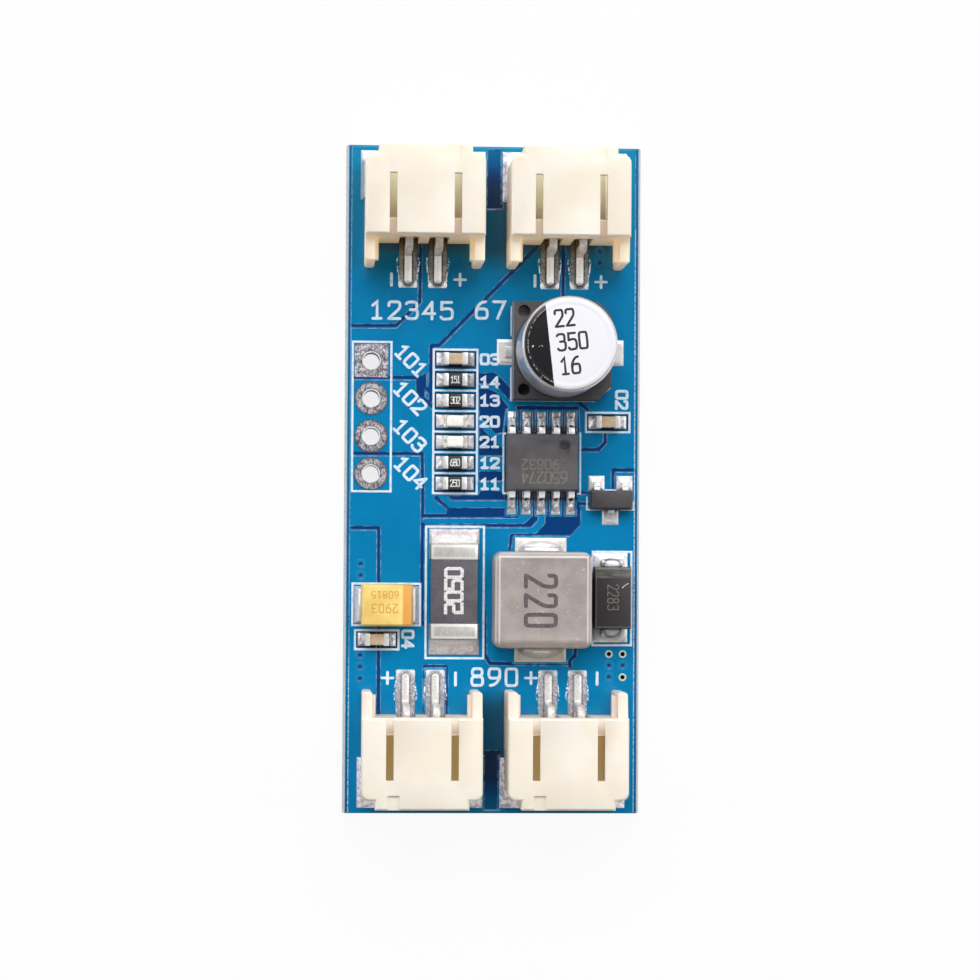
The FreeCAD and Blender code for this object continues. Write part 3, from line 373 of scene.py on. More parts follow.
# %% [markdown]
# ## Surfaces from arrays
#
# Nearly every new piece here is a grid of points: two numbers run over it, and a formula gives the
# place of each point. The faces of any such grid are the same, so one function numbers them, and a
# Shape collects several grids into one mesh. Seams and poles are closed by merging points that lie
# on each other. A kept solid can also be dressed: a copy of it is merged, its flat faces are made
# whole again, and a Bevel modifier rounds its edges, as moulding and stamping do.


# %% Collect grids into one mesh
SAME_PLACE = 1e-7


def grid_faces(rows, columns, round_rows=False, round_columns=False):
    """Quads between neighbouring points of a rows x columns grid, numbered row by row. A round
    direction also joins its last line to its first."""
    row = np.arange(rows if round_rows else rows - 1)
    column = np.arange(columns if round_columns else columns - 1)
    i, j = (a.ravel() for a in np.meshgrid(row, column, indexing="ij"))
    next_i, next_j = (i + 1) % rows, (j + 1) % columns
    corners = [i * columns + j, next_i * columns + j, next_i * columns + next_j, i * columns + next_j]
    return np.stack(corners, axis=1)


class Shape:
    """A mesh in the making: points in millimetres and quads, with a finish number for each quad."""

    def __init__(self):
        self.points = []
        self.faces = []
        self.kinds = []
        self.count = 0

    def add(self, points, faces, kind=0):
        points = np.asarray(points, float).reshape(-1, 3)
        self.points.append(points)
        self.faces.append(np.asarray(faces) + self.count)
        self.kinds.append(np.broadcast_to(kind, len(faces)))
        self.count += len(points)
        return self

    def build(self, name, slot, finishes, smooth=True, replaces=(), floor=None):
        """Mesh object at the origin that rides on the body and stands for the nodes it replaces."""
        points = np.concatenate(self.points) * MM
        faces = np.concatenate(self.faces)
        mesh = bpy.data.meshes.new(name)
        mesh.vertices.add(len(points))
        mesh.vertices.foreach_set("co", points.ravel())
        mesh.loops.add(faces.size)
        mesh.loops.foreach_set("vertex_index", faces.ravel().astype(np.int32))
        mesh.polygons.add(len(faces))
        mesh.polygons.foreach_set("loop_start", np.arange(0, faces.size, 4, dtype=np.int32))
        mesh.polygons.foreach_set("material_index", np.concatenate(self.kinds).astype(np.int32))
        mesh.polygons.foreach_set("use_smooth", np.full(len(faces), smooth))
        mesh.update(calc_edges=True)
        for finish in finishes:
            mesh.materials.append(finish.material)
        close(mesh, floor)
        return stand(mesh, name, replaces)


def close(mesh, floor):
    """Merges points that lie on each other. With a floor height in millimetres, open rims are
    carried down to it and filled there."""
    work = bmesh.new()
    work.from_mesh(mesh)
    bmesh.ops.remove_doubles(work, verts=work.verts, dist=SAME_PLACE)
    rims = [edge for edge in work.edges if edge.is_boundary]
    if floor is not None and rims:
        grown = bmesh.ops.extrude_edge_only(work, edges=rims)["geom"]
        for vert in (part for part in grown if isinstance(part, bmesh.types.BMVert)):
            vert.co.z = floor * MM
        edges = (part for part in grown if isinstance(part, bmesh.types.BMEdge))
        low_rims = [edge for edge in edges if edge.is_boundary]
        bmesh.ops.triangle_fill(work, edges=low_rims, use_beauty=False, normal=(0, 0, -1))
        bmesh.ops.recalc_face_normals(work, faces=work.faces)
    work.to_mesh(mesh)
    work.free()


def stand(mesh, name, replaces=()):
    """Object for a finished mesh, riding on the one body."""
    piece = bpy.data.objects.new(name, mesh)
    scene.collection.objects.link(piece)
    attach(piece, "root")
    if replaces:
        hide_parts(*replaces)
    return piece


print("mesh words ready")


# %% Carry a profile round an axis
def turned_form(radius, height, axis, sides):
    """Profile carried round an upright axis: x = radius cos a, y = radius sin a."""
    radius, height = np.array(radius), np.array(height)
    angle = np.linspace(0, 2 * np.pi, sides, endpoint=False)
    x = axis[0] + radius[:, None] * np.cos(angle)
    y = axis[1] + radius[:, None] * np.sin(angle)
    z = np.broadcast_to(height[:, None], x.shape)
    return np.stack([x, y, z], axis=-1), grid_faces(len(radius), sides, round_columns=True)[:, ::-1]


print("turning word ready")

# %% Dress a kept solid
SHARP = math.radians(28)
FLAT = math.radians(1.0)
WELD = 2e-6


def refinish(node, finish):
    """Gives a kept solid one finish and leaves its form alone."""
    NODES[node].data.materials.clear()
    NODES[node].data.materials.append(finish.material)


def dressed(node, finishes, round_mm, segments=2, pick=None, quads=False):
    """Copy of a node with whole flat faces and rounded edges, in place of the node. Faces with
    openings can't be one polygon, so such a node asks for quads. Pick gives each face's finish
    number from its middle and its direction, both as n x 3 arrays."""
    mesh = NODES[node].data.copy()
    mesh.materials.clear()
    work = bmesh.new()
    work.from_mesh(mesh)
    bmesh.ops.remove_doubles(work, verts=work.verts, dist=WELD)
    if quads:
        bmesh.ops.join_triangles(work, faces=work.faces, angle_face_threshold=FLAT,
                                 angle_shape_threshold=math.radians(120.0))
    else:
        bmesh.ops.dissolve_limit(work, angle_limit=FLAT, verts=work.verts, edges=work.edges)
    work.normal_update()
    work.to_mesh(mesh)
    work.free()
    for finish in finishes:
        mesh.materials.append(finish.material)
    if pick is not None:
        middles = np.zeros(len(mesh.polygons) * 3)
        normals = np.zeros(len(mesh.polygons) * 3)
        mesh.polygons.foreach_get("center", middles)
        mesh.polygons.foreach_get("normal", normals)
        kinds = pick(middles.reshape(-1, 3) / MM, normals.reshape(-1, 3))
        mesh.polygons.foreach_set("material_index", np.asarray(kinds).astype(np.int32))
    mesh.polygons.foreach_set("use_smooth", np.ones(len(mesh.polygons), bool))
    piece = stand(mesh, node + "_dressed", (node,))
    soft = piece.modifiers.new("rounded edges", "BEVEL")
    soft.width = round_mm * MM
    soft.segments = segments
    soft.limit_method = "ANGLE"
    soft.angle_limit = SHARP
    soft.use_clamp_overlap = True
    soft.harden_normals = True
    return piece


print("dressing words ready")

# %% [markdown]
# ## The board's coat
#
# The blue is a thin lacquer over copper. Where the copper is etched away it lies on bare laminate
# and looks navy, and it steps down by the copper's thickness, so the edges catch the light. The
# pattern could be cut into the board as geometry, but then every crossing of two grooves would need
# a Boolean. Here each point of a fine grid is told how far it is from the nearest etched edge,
# below zero inside the etched part. The distance is smooth, so the grid carries it well, and the
# shader turns it into the colour and the step.

# %% Name the etched lines and areas
GROOVE_HALF = 0.125
GROOVES = [
    [(-5.0, 15.7), (-4.98, 11.91), (-6.58, 10.27), (-9.45, 10.24)],
    [(3.06, 18.3), (3.06, 15.87), (-3.67, 8.95), (-4.2, 8.95), (-4.2, 5.2)],
    [(4.73, 18.0), (4.71, 12.1)],
    [(-9.39, 6.75), (-5.08, 6.77), (-5.07, 5.76), (-4.12, 4.82)],
    [(-4.62, 6.95), (-4.62, 6.15), (-4.2, 5.75)],
    [(-9.35, 1.62), (-4.77, 1.64), (-4.71, -1.1), (-4.72, -9.54), (-4.55, -9.9)],
    [(-9.45, -3.38), (-7.66, -3.38), (-7.59, -18.2)],
    [(7.6, 3.2), (7.61, 2.5), (7.13, 2.01), (5.9, 2.0)],
    [(-0.53, -9.0), (-0.46, -11.87), (-0.1, -12.44), (5.1, -12.44), (5.64, -11.85), (5.64, -11.5)],
    [(5.3, -12.46), (5.32, -15.9)],
    [(8.15, 0.62), (8.16, -1.1)],
    [(9.9, 0.64), (8.16, 0.64)],
    [(9.9, -7.33), (9.5, -7.33)],
    [(5.75, 5.3), (6.4, 4.75), (6.4, 4.4)],
]
MASK_EDGE = 9.62
NAVY_AREAS = [
    [(-5.0, 6.9), (-4.6, 6.9), (-4.6, 5.5), (-5.0, 5.5)],
    [(-0.96, 7.11), (0.13, 7.16), (0.53, 6.82), (1.32, 5.99), (1.32, 5.44), (1.01, 5.44), (0.13, 6.28),
     (-0.28, 6.41), (-0.95, 6.4)],
    [(-0.95, 6.07), (0.2, 6.04), (1.02, 5.27), (1.05, 4.6), (0.82, 4.46), (0.69, 3.1), (0.22, 3.03),
     (-0.6, 3.9), (-0.94, 4.1)],
    [(-0.94, 3.5), (-0.67, 3.5), (0.42, 2.43), (0.69, 2.29), (0.7, 1.55), (-0.93, 1.54)],
    [(-0.93, 0.5), (0.7, 0.5), (0.7, -0.15), (-0.93, -0.15)],
    [(-3.07, -1.18), (-0.98, -1.16), (-0.84, -0.82), (0.71, -0.84), (0.85, -1.45), (-2.73, -1.48)],
    [(-3.95, -1.18), (-3.74, -1.18), (-2.9, -1.99), (0.92, -1.96), (1.73, -2.4), (1.8, -2.63),
     (-4.65, -2.67), (-4.81, -2.54), (-4.82, -1.02), (-4.62, -1.02), (-4.61, -2.4), (-3.13, -2.39),
     (-3.06, -2.12), (-3.95, -1.39)],
    [(-4.78, -3.08), (2.14, -3.03), (2.82, -2.4), (3.09, -2.4), (3.09, -2.76), (2.62, -3.27),
     (-0.49, -3.29), (-0.49, -3.15), (-4.54, -3.18), (-4.57, -3.3), (-4.78, -3.3)],
    [(3.56, -2.4), (5.8, -2.4), (5.86, -1.9), (5.97, -1.9), (5.97, -3.07), (5.26, -3.86),
     (1.4, -3.95), (1.27, -4.9), (1.08, -4.9), (1.17, -3.78), (1.33, -3.68), (2.96, -3.67), (3.56, -3.02)],
    [(1.56, 4.95), (5.82, 4.95), (5.9, 3.2), (1.57, 3.2)],
    [(0.91, -0.6), (5.9, -0.6), (5.9, -2.47), (0.92, -2.47)],
    [(5.85, -0.8), (6.62, -0.8), (6.62, -1.02), (5.85, -1.02)],
    [(5.85, -1.54), (6.62, -1.54), (6.62, -1.76), (5.85, -1.76)],
    [(-0.48, 18.25), (0.62, 18.25), (0.62, 22.3), (-0.48, 22.3)],
    [(-0.55, -18.3), (0.62, -18.3), (0.62, -22.3), (-0.55, -22.3)],
    [(-4.62, -12.55), (-2.93, -12.55), (-2.93, -15.9), (-4.62, -15.9)],
]
TRACE_HALF = 0.16
TRACES = [
    [(-0.2, 6.25), (0.35, 5.95), (1.28, 4.85), (1.28, 3.9)],
    [(-0.85, 3.75), (0.05, 2.85), (0.65, 2.25), (1.2, 2.2)],
    [(-3.5, -1.12), (-2.85, -1.75), (1.28, -1.72), (1.28, -1.9)],
    [(-4.6, -2.86), (2.05, -2.86), (2.4, -2.5), (2.42, -2.0)],
    [(-0.6, -3.45), (2.85, -3.45), (3.3, -2.95), (3.3, -2.0)],
    [(6.9, -1.27), (5.6, -1.27), (5.28, -1.8)],
]
print(len(GROOVES), "grooves,", len(NAVY_AREAS), "areas,", len(TRACES), "traces")


# %% Measure how far each point is from an etched edge
FAR = 100.0


def distance_to_line(x, y, path):
    """Distance from points to a polyline: for each side, the point's share along it is held between
    0 and 1, and the smallest distance to the point at that share counts."""
    best = np.full(x.shape, FAR)
    for (ax, ay), (bx, by) in zip(path, path[1:]):
        dx, dy = bx - ax, by - ay
        share = np.clip(((x - ax) * dx + (y - ay) * dy) / (dx * dx + dy * dy), 0, 1)
        best = np.minimum(best, np.hypot(x - ax - share * dx, y - ay - share * dy))
    return best


def distance_to_area(x, y, corners):
    """Distance to a polygon's outline, below zero inside. A point is inside where a line from it
    towards +X crosses the outline an odd number of times."""
    loop = list(corners) + list(corners[:1])
    inside = np.zeros(x.shape, bool)
    for (ax, ay), (bx, by) in zip(loop, loop[1:]):
        spans = (ay > y) != (by > y)
        crossing = ax + (y - ay) * (bx - ax) / (by - ay if by != ay else 1e-9)
        inside ^= spans & (x < crossing)
    return np.where(inside, -1.0, 1.0) * distance_to_line(x, y, loop)


def etched_distance(x, y, keep):
    """Distance to the nearest etched edge, below zero where the copper is gone. Traces, and any
    land in keep (left, right, low, high), put copper back."""
    etched = MASK_EDGE - np.abs(x)
    for path in GROOVES:
        etched = np.minimum(etched, distance_to_line(x, y, path) - GROOVE_HALF)
    for corners in NAVY_AREAS:
        etched = np.minimum(etched, distance_to_area(x, y, corners))
    copper = np.full(x.shape, FAR)
    for path in TRACES:
        copper = np.minimum(copper, distance_to_line(x, y, path) - TRACE_HALF)
    for left, right, low, high in keep:
        beyond = np.maximum(np.maximum(left - x, x - right), np.maximum(low - y, y - high))
        copper = np.minimum(copper, beyond)
    return np.maximum(etched, -copper)


print("middle of the board to an etched edge, mm:", np.round(etched_distance(*np.zeros((2, 1)), []), 2))

# %% [markdown]
# ## Where solder sits
#
# Every terminal stands on a tinned land and is wetted by solder. The list below names, for each
# part, the land's rectangle and the terminal's footprint in the part's own frame, with the height
# that solder climbs and the run over which it thins out. The coat needs the lands too, as copper
# stays under them.


# %% List the lands
def land_pair(length_from, length_to, half_width, foot_from, foot_to, foot_half, climb, run, across=0.0):
    """One land and its mirror image, long axis on the part's own Y. Each row: land rectangle,
    footprint rectangle, climb, run; rectangles are left, right, low, high."""
    rows = []
    for side in (1, -1):
        land = (across - half_width, across + half_width, *sorted((side * length_from, side * length_to)))
        foot = (across - foot_half, across + foot_half, *sorted((side * foot_from, side * foot_to)))
        rows.append((land, foot, climb, run))
    return rows


# Both contacts and both tabs of a socket, the controller's ten leads and the transistor's three
CONTACT_X = 1.0
CONTACT_LANDS, TAB_LANDS, DRIVER_LANDS = [], [], []
for side in (-1.0, 1.0):
    x = side * CONTACT_X
    CONTACT_LANDS.append(((x - 0.6, x + 0.6, -3.0, 0.9), (x - 0.25, x + 0.25, -2.8, 0.9), 0.30, 0.2))
    foot = (*sorted((side * 3.0, side * 3.95)), 2.4, 5.38)
    TAB_LANDS.append(((side * 3.48 - 0.75, side * 3.48 + 0.75, 2.88, 6.28), foot, 0.7, 0.16))
for place in range(-2, 3):
    DRIVER_LANDS += land_pair(1.85, 3.5, 0.3, 2.3, 3.0, 0.2, 0.15, 0.12, across=float(place))
SWITCH_LANDS = [land_pair(0.625, 1.675, 0.56, 0.85, 1.225, 0.21, 0.0, 0.14)[1]]
for x in (-0.95, 0.95):
    SWITCH_LANDS.append(land_pair(0.625, 1.675, 0.56, 0.85, 1.225, 0.21, 0.06, 0.14, across=x)[0])
CHIP_HALF = (1.29, 0.46)
CHIP_SIZES = (0.44, *CHIP_HALF, 0.45, 0.8, 0.41)
CHIP = land_pair(*CHIP_SIZES, 0.30, 0.13)
TALL_CHIP = land_pair(*CHIP_SIZES, 0.42, 0.14)
LAMP = land_pair(*CHIP_SIZES, 0.2, 0.13)
CONTROLLER_HALF = (2.35, 2.42)

CHIP_X = -2.56
CHIP_PITCH = 1.398
CHIP_ROWS_Y = 8.06 - CHIP_PITCH * np.arange(7)
SOCKET_X = 4.8
SOCKET_REAR = 15.87
SOCKETS = [
    ("supply_socket_left", (-SOCKET_X, SOCKET_REAR), 0),
    ("supply_socket_right", (SOCKET_X, SOCKET_REAR), 0),
    ("battery_socket_left", (-SOCKET_X, -SOCKET_REAR), 180),
    ("battery_socket_right", (SOCKET_X, -SOCKET_REAR), 180),
]
SOLDERED = [(name, centre, turn, CONTACT_LANDS) for name, centre, turn in SOCKETS]
SOLDERED += [(name + "_tabs", centre, turn, TAB_LANDS) for name, centre, turn in SOCKETS]
SOLDERED += [
    ("electrolytic", (4.54, 8.58), 90, land_pair(1.3, 4.3, 0.875, 0.6, 3.75, 0.35, 0.0, 0.2)),
    ("charge_controller", (3.28, 1.1), 0, DRIVER_LANDS),
    ("switch_transistor", (7.98, -1.4), 0, SWITCH_LANDS),
    ("rectifier", (8.0, -7.97), 0, land_pair(1.125, 3.025, 1.175, 1.1, 2.35, 0.35, 0.30, 0.32)),
    ("inductor", (3.28, -8.14), 0, land_pair(1.8, 4.2, 1.75, 1.85, 3.5, 0.9, 0.14, 0.3)),
    ("tantalum", (-7.1, -8.53), 90, land_pair(0.975, 2.175, 1.25, 0.9, 1.955, 1.1, 0.3, 0.12)),
    ("sense_resistor", (-2.56, -7.62), 0, land_pair(2.15, 4.25, 1.7, 2.155, 3.175, 1.575, 0.42, 0.45)),
    ("capacitor_c2", (7.76, 3.87), 90, TALL_CHIP),
    ("capacitor_c4", (-7.74, -10.85), 90, TALL_CHIP),
    ("capacitor_c3", (CHIP_X, CHIP_ROWS_Y[0]), 90, TALL_CHIP),
    ("resistor_r4", (CHIP_X, CHIP_ROWS_Y[1]), 90, CHIP),
    ("resistor_r3", (CHIP_X, CHIP_ROWS_Y[2]), 90, CHIP),
    ("charged_lamp", (CHIP_X, CHIP_ROWS_Y[3]), 90, LAMP),
    ("charging_lamp", (CHIP_X, CHIP_ROWS_Y[4]), 90, LAMP),
    ("resistor_r2", (CHIP_X, CHIP_ROWS_Y[5]), 90, CHIP),
    ("resistor_r1", (CHIP_X, CHIP_ROWS_Y[6]), 90, CHIP),
]
CENTRE = {name: centre for name, centre, turn, rows in SOLDERED}

HEADER_X = -8.22
HEADER_Y = 7.92
HEADER_PITCH = 2.54
HEADER_ROWS_Y = HEADER_Y - HEADER_PITCH * np.arange(4)
TENTED_VIAS = [(-8.86, -5.8), (-8.86, -6.58), (-8.86, -11.94), (-8.86, -12.72), (-8.86, -13.5),
               (8.86, -12.56), (7.93, -12.56), (7.93, -13.34), (7.19, 15.48), (7.19, 14.7)]
OPEN_VIAS = [(8.86, -11.78), (7.93, -11.78), (8.86, -13.34)]
print(len(SOLDERED), "soldered parts")


# %% Find the lands on the board
def turned(x, y, centre, turn):
    """Points of a part's own frame, turned about Z by a whole quarter or two and moved in place."""
    angle = math.radians(turn)
    return (centre[0] + x * math.cos(angle) - y * math.sin(angle),
            centre[1] + x * math.sin(angle) + y * math.cos(angle))


def land_boxes(grow):
    """Every land as left, right, low, high on the board, grown on all sides."""
    boxes = []
    for name, centre, turn, rows in SOLDERED:
        for land, foot, climb, run in rows:
            xs, ys = turned(np.array(land[:2]), np.array(land[2:]), centre, turn)
            boxes.append((min(xs) - grow, max(xs) + grow, min(ys) - grow, max(ys) + grow))
    return boxes


def hemmed_distance(x, y):
    """Distance to the nearest chip, or to the controller and the roots of its leads. The strip of
    mask that they hem in is painted dark: navy where the mask opens, and painted shade."""
    chips = [centre for name, centre, turn, rows in SOLDERED if rows in (CHIP, TALL_CHIP, LAMP)]
    places = [(centre, CHIP_HALF) for centre in chips] + [(CENTRE["charge_controller"], CONTROLLER_HALF)]
    best = np.full(x.shape, FAR)
    for (middle_x, middle_y), half in places:
        out_x, out_y = np.abs(x - middle_x) - half[0], np.abs(y - middle_y) - half[1]
        best = np.minimum(best, np.hypot(np.maximum(out_x, 0), np.maximum(out_y, 0)))
    return best


print(len(land_boxes(0)), "lands")

# %% [markdown]
# ## Finish of the coat
#
# The lacquer is glossy and clear enough to show what lies under it. Over copper it is a bright
# blue, on bare laminate navy. Short white dashes along each etched edge, round the sockets' lips and
# on the board's sides are painted highlights, and the mask behind and between the sockets and round
# the chips is darkened as painted shade. The grid's distances give these, and a step in the bump
# gives the edge its highlight.

# %% Mix the blue
MASK_BLUE = (0.0016, 0.232, 0.500)
MASK_BLUE_DEEP = (0.0016, 0.208, 0.455)
MASK_LIT_TEAL = (0.006, 0.245, 0.400)
MASK_NAVY = (0.0016, 0.048, 0.205)
MASK_RIM = (0.004, 0.125, 0.310)
MASK_GLINT = (0.50, 0.78, 0.95)
MASK_SHADE = (0.002, 0.035, 0.070)
HEMMED_SHADE_NAVY = (0.003, 0.012, 0.045)
GAP_SHADE = (0.012, 0.020, 0.026)
LIP_HIGHLIGHT = (0.97, 0.98, 0.98)
LIP_GLOW = (0.34, 0.35, 0.35)
COPPER_STEP = 0.045
LIP_RISE = 0.02

coat = Finish("board_coat", Specular_IOR_Level=0.42)
x, y, z = coat.place()
side, end = abs(x), abs(y)
etched, lip, hemmed = (coat.carried(name) for name in ("etched_mm", "lip_mm", "hemmed_mm"))
cloud = coat.noise(2.6, 3.0).step(0.35, 0.65)
# Towards the supply end the blue turns teal: painted light.
blue = coat.layers(MASK_BLUE_DEEP, (cloud, MASK_BLUE), (y.step(12.0, 21.0) * 0.6, MASK_LIT_TEAL))
bare = coat.blend(side.step(MASK_EDGE - 0.04, MASK_EDGE), MASK_NAVY, MASK_RIM)
body = coat.blend(etched.step(-0.02, 0.02), bare, blue)
# Behind the supply sockets, in the gaps between the sockets and beside the left supply socket the mask is
# darkened: painted shade.
between_sockets = side.fall(0.85, 1.2)
in_gap = between_sockets * end.step(13.8, 15.6) * end.fall(19.8, 21.4)
# At the board's end between the sockets the mask turns teal as well: painted light.
at_end = between_sockets * end.step(20.2, 22.2)
beside_socket = x.fall(-9.05, -8.75) * y.step(13.0, 16.0) * y.fall(20.4, 21.6)
behind_socket = y.step(15.0, 15.8) * y.fall(15.9, 16.0) * abs(side - SOCKET_X).fall(2.8, 3.2)
# Round the chips and the controller's leads the mask goes dark navy: partly where the mask opens, partly
# painted shade.
body = coat.layers(
    body,
    (behind_socket * 0.65, MASK_SHADE),
    (at_end * 0.35, MASK_LIT_TEAL),
    ((in_gap * 0.65).largest(beside_socket * 0.25), GAP_SHADE),
    (hemmed.fall(0.02, 0.22) * 0.9, HEMMED_SHADE_NAVY),
)
print("coat has its body colour")

# %% Paint highlights on the etched edges, the sockets' lips and the board's sides
# Short white dashes along the etched edges, the lips and the board's sides: painted highlights.
groove_glint = abs(etched - 0.015).fall(0.012, 0.045) * coat.noise(0.55, 1.0).step(0.46, 0.56)
lip_glint = lip.fall(0.025, 0.065) * coat.noise(0.15, 2.0).step(0.42, 0.50)
side_glint = abs(side - MASK_EDGE).fall(0.015, 0.05) * coat.noise(0.16, 3.0, 0.7).step(0.40, 0.54)
on_right = x.step(-0.1, 0.1)
side_glint_right = on_right * y.fall(16.9, 17.2) * 0.8
side_glint_left = (1.0 - on_right) * y.step(-14.0, -11.0, 1.0, 0.2)
glints = (groove_glint * 0.22).largest(side_glint * (side_glint_right + side_glint_left))
coat.paint(body, (glints, MASK_GLINT), (lip_glint, LIP_HIGHLIGHT))
# The lips also glow: painted highlight.
coat.glow(coat.blend(lip_glint, BLACK, LIP_GLOW))
fine = coat.noise(0.22, 2.0)
coat.roughen(fine, 0.16, 0.22)
weave = coat.noise(0.45, 1.0, 0.5, (1.0, 0.25, 1.0)) + coat.noise(0.45, 1.0, 0.5, (0.25, 1.0, 1.0))
ridge = etched.step(-0.07, 0.05) * COPPER_STEP + lip.fall(0.0, 0.09) * LIP_RISE
coat.relief(ridge + weave * 0.0008 + fine * 0.0005)
print("coat has", len(coat.tree.nodes), "nodes")

# %% Lay the coat on the board
COAT_PITCH = 0.1
COAT_LIFT = 0.006
COAT_INSET = 0.19
COAT_DEPTH = 0.03
LAND_MARGIN = 0.12
CLEAR_EYELET, CLEAR_OPEN, CLEAR_TENTED = 0.75, 0.17, 0.24
LIP_PATH = np.array([(0.73, -0.95), (0.76, -1.3), (0.69, -1.8), (0.59, -2.35), (0.59, -2.9)])


def hole_places():
    """Centre and clear radius of each hole that goes through the coat."""
    holes = [(HEADER_X, y, CLEAR_EYELET) for y in HEADER_ROWS_Y]
    holes += [(x, y, CLEAR_OPEN) for x, y in OPEN_VIAS]
    return holes + [(x, y, CLEAR_TENTED) for x, y in TENTED_VIAS]


def make_coat():
    """Level grid over the board's top. Faces over a hole are left out, and the outline is turned
    down on the laminate."""
    half = BOARD_HIGH[:2] - (COAT_INSET, 0.02)
    counts = np.round(2 * half / COAT_PITCH).astype(int) + 1
    xs = np.linspace(-half[0], half[0], counts[0])
    ys = np.linspace(-half[1], half[1], counts[1])
    x, y = (a.ravel() for a in np.meshgrid(xs, ys, indexing="ij"))
    z = np.full(x.shape, BOARD_TOP + COAT_LIFT)
    rim = (np.abs(x) > half[0] - 1e-6) | (np.abs(y) > half[1] - 1e-6)
    z[rim] = BOARD_TOP - SUNK
    faces = grid_faces(counts[0], counts[1])
    middle_x, middle_y = x[faces].mean(axis=1), y[faces].mean(axis=1)
    keep = np.ones(len(faces), bool)
    for hole_x, hole_y, radius in hole_places():
        keep &= np.hypot(middle_x - hole_x, middle_y - hole_y) > radius
    etched_mm = etched_distance(x, y, land_boxes(LAND_MARGIN))
    for hole_x, hole_y in TENTED_VIAS:
        etched_mm = np.minimum(etched_mm, np.hypot(x - hole_x, y - hole_y) + 0.02)
    lip_mm = np.full(x.shape, FAR)
    for name, centre, turn in SOCKETS:
        for contact_x in (-CONTACT_X, CONTACT_X):
            for side in (1, -1):
                path = [turned(contact_x + side * a, b, centre, turn) for a, b in LIP_PATH]
                lip_mm = np.minimum(lip_mm, distance_to_line(x, y, path))
    shape = Shape().add(np.stack([x, y, z], axis=1), faces[keep])
    piece = shape.build("board_coat", "board_mask", [coat], smooth=False, floor=BOARD_TOP - COAT_DEPTH)
    found = np.zeros(len(piece.data.vertices) * 3)
    piece.data.vertices.foreach_get("co", found)
    steps = np.round((found.reshape(-1, 3)[:, :2] / MM + half) / (xs[1] - xs[0], ys[1] - ys[0]))
    column, line = np.clip(steps, 0, counts - 1).astype(int).T
    fields = {"etched_mm": etched_mm, "lip_mm": lip_mm, "hemmed_mm": hemmed_distance(x, y)}
    for name, values in fields.items():
        field = piece.data.attributes.new(name, "FLOAT", "POINT")
        field.data.foreach_set("value", values[column * counts[1] + line].astype(np.float32))
    return piece


board_coat = make_coat()
print("coat:", len(board_coat.data.polygons), "faces")

# %% [markdown]
# ## The laminate
#
# Glass cloth in epoxy shows where no lacquer covers it: on the snapped long edges, on the sawn
# ends and in the holes. It is pale and a little rough, with the cut ends of the glass as specks.
# The underside has the same lacquer as the top. The kept solid is right as it is, so it gets one
# finish that tells these places apart by height.

# %% Finish the laminate
LAMINATE_PALE = (0.80, 0.81, 0.84)
LAMINATE_GREEN = (0.50, 0.54, 0.55)
UNDER_GROOVES = [
    [(-5.6, 22.0), (-5.6, 10.9), (-6.4, 10.1), (-9.4, 10.1)],
    [(-9.4, 6.6), (-6.1, 6.6), (-6.1, -9.9), (-9.3, -9.9)],
    [(0.0, -22.0), (0.0, 9.0), (9.4, 9.0)],
]


def groove_mask(finish, path_list, half):
    """One inside the grooves of a list: for each straight side the point's distance is worked out
    from its share along the side, and the smallest counts."""
    x, y, z = finish.place()
    nearest = None
    for path in path_list:
        for (ax, ay), (bx, by) in zip(path, path[1:]):
            dx, dy = bx - ax, by - ay
            along = ((x - ax) * dx + (y - ay) * dy) / (dx * dx + dy * dy)
            share = along.largest(0.0).smallest(1.0)
            off_x, off_y = x - ax - share * dx, y - ay - share * dy
            gap = (off_x * off_x + off_y * off_y) ** 0.5
            nearest = gap if nearest is None else nearest.smallest(gap)
    return nearest.fall(half - 0.02, half + 0.02), nearest


laminate = Finish("board_laminate", Roughness=0.6)
x, y, z = laminate.place()
cut = z.step(0.004, 0.02) * z.fall(BOARD_TOP - 0.02, BOARD_TOP - 0.004)
fibres = laminate.noise(0.10, 3.0, 0.6, (1.0, 1.0, 3.5))
pale = laminate.blend(fibres.step(0.40, 0.66), LAMINATE_GREEN, LAMINATE_PALE)
grooves, gap = groove_mask(laminate, UNDER_GROOVES, GROOVE_HALF)
lacquer = laminate.blend(grooves, MASK_BLUE, MASK_NAVY)
laminate.paint(lacquer, (cut, pale))
laminate.set("Roughness", cut.step(0.0, 1.0, 0.26, 0.75))
laminate.relief(fibres * 0.02 * cut + gap.step(0.06, 0.18) * 0.03 * (1.0 - cut))
refinish("board", laminate)
print("laminate has", len(laminate.tree.nodes), "nodes")

# %% [markdown]
# ## Printed lines and figures
#
# White ink is screened on the coat: frames round the parts, polarity marks and lettering. Each line
# is a pen stroke with round ends, so one function carries a low domed section along a path and
# narrows it to a half circle at both ends. Letters become plain figures here. A figure is a few
# pen paths, and cutting their corners twice makes the curves.

# %% Carry a pen stroke along a path
SILK_LIFT = 0.008
SILK_CROWN = 0.016
LAYER_STEP = 0.0015
CAP_TURNS = np.radians([8.0, 35.0, 62.0])


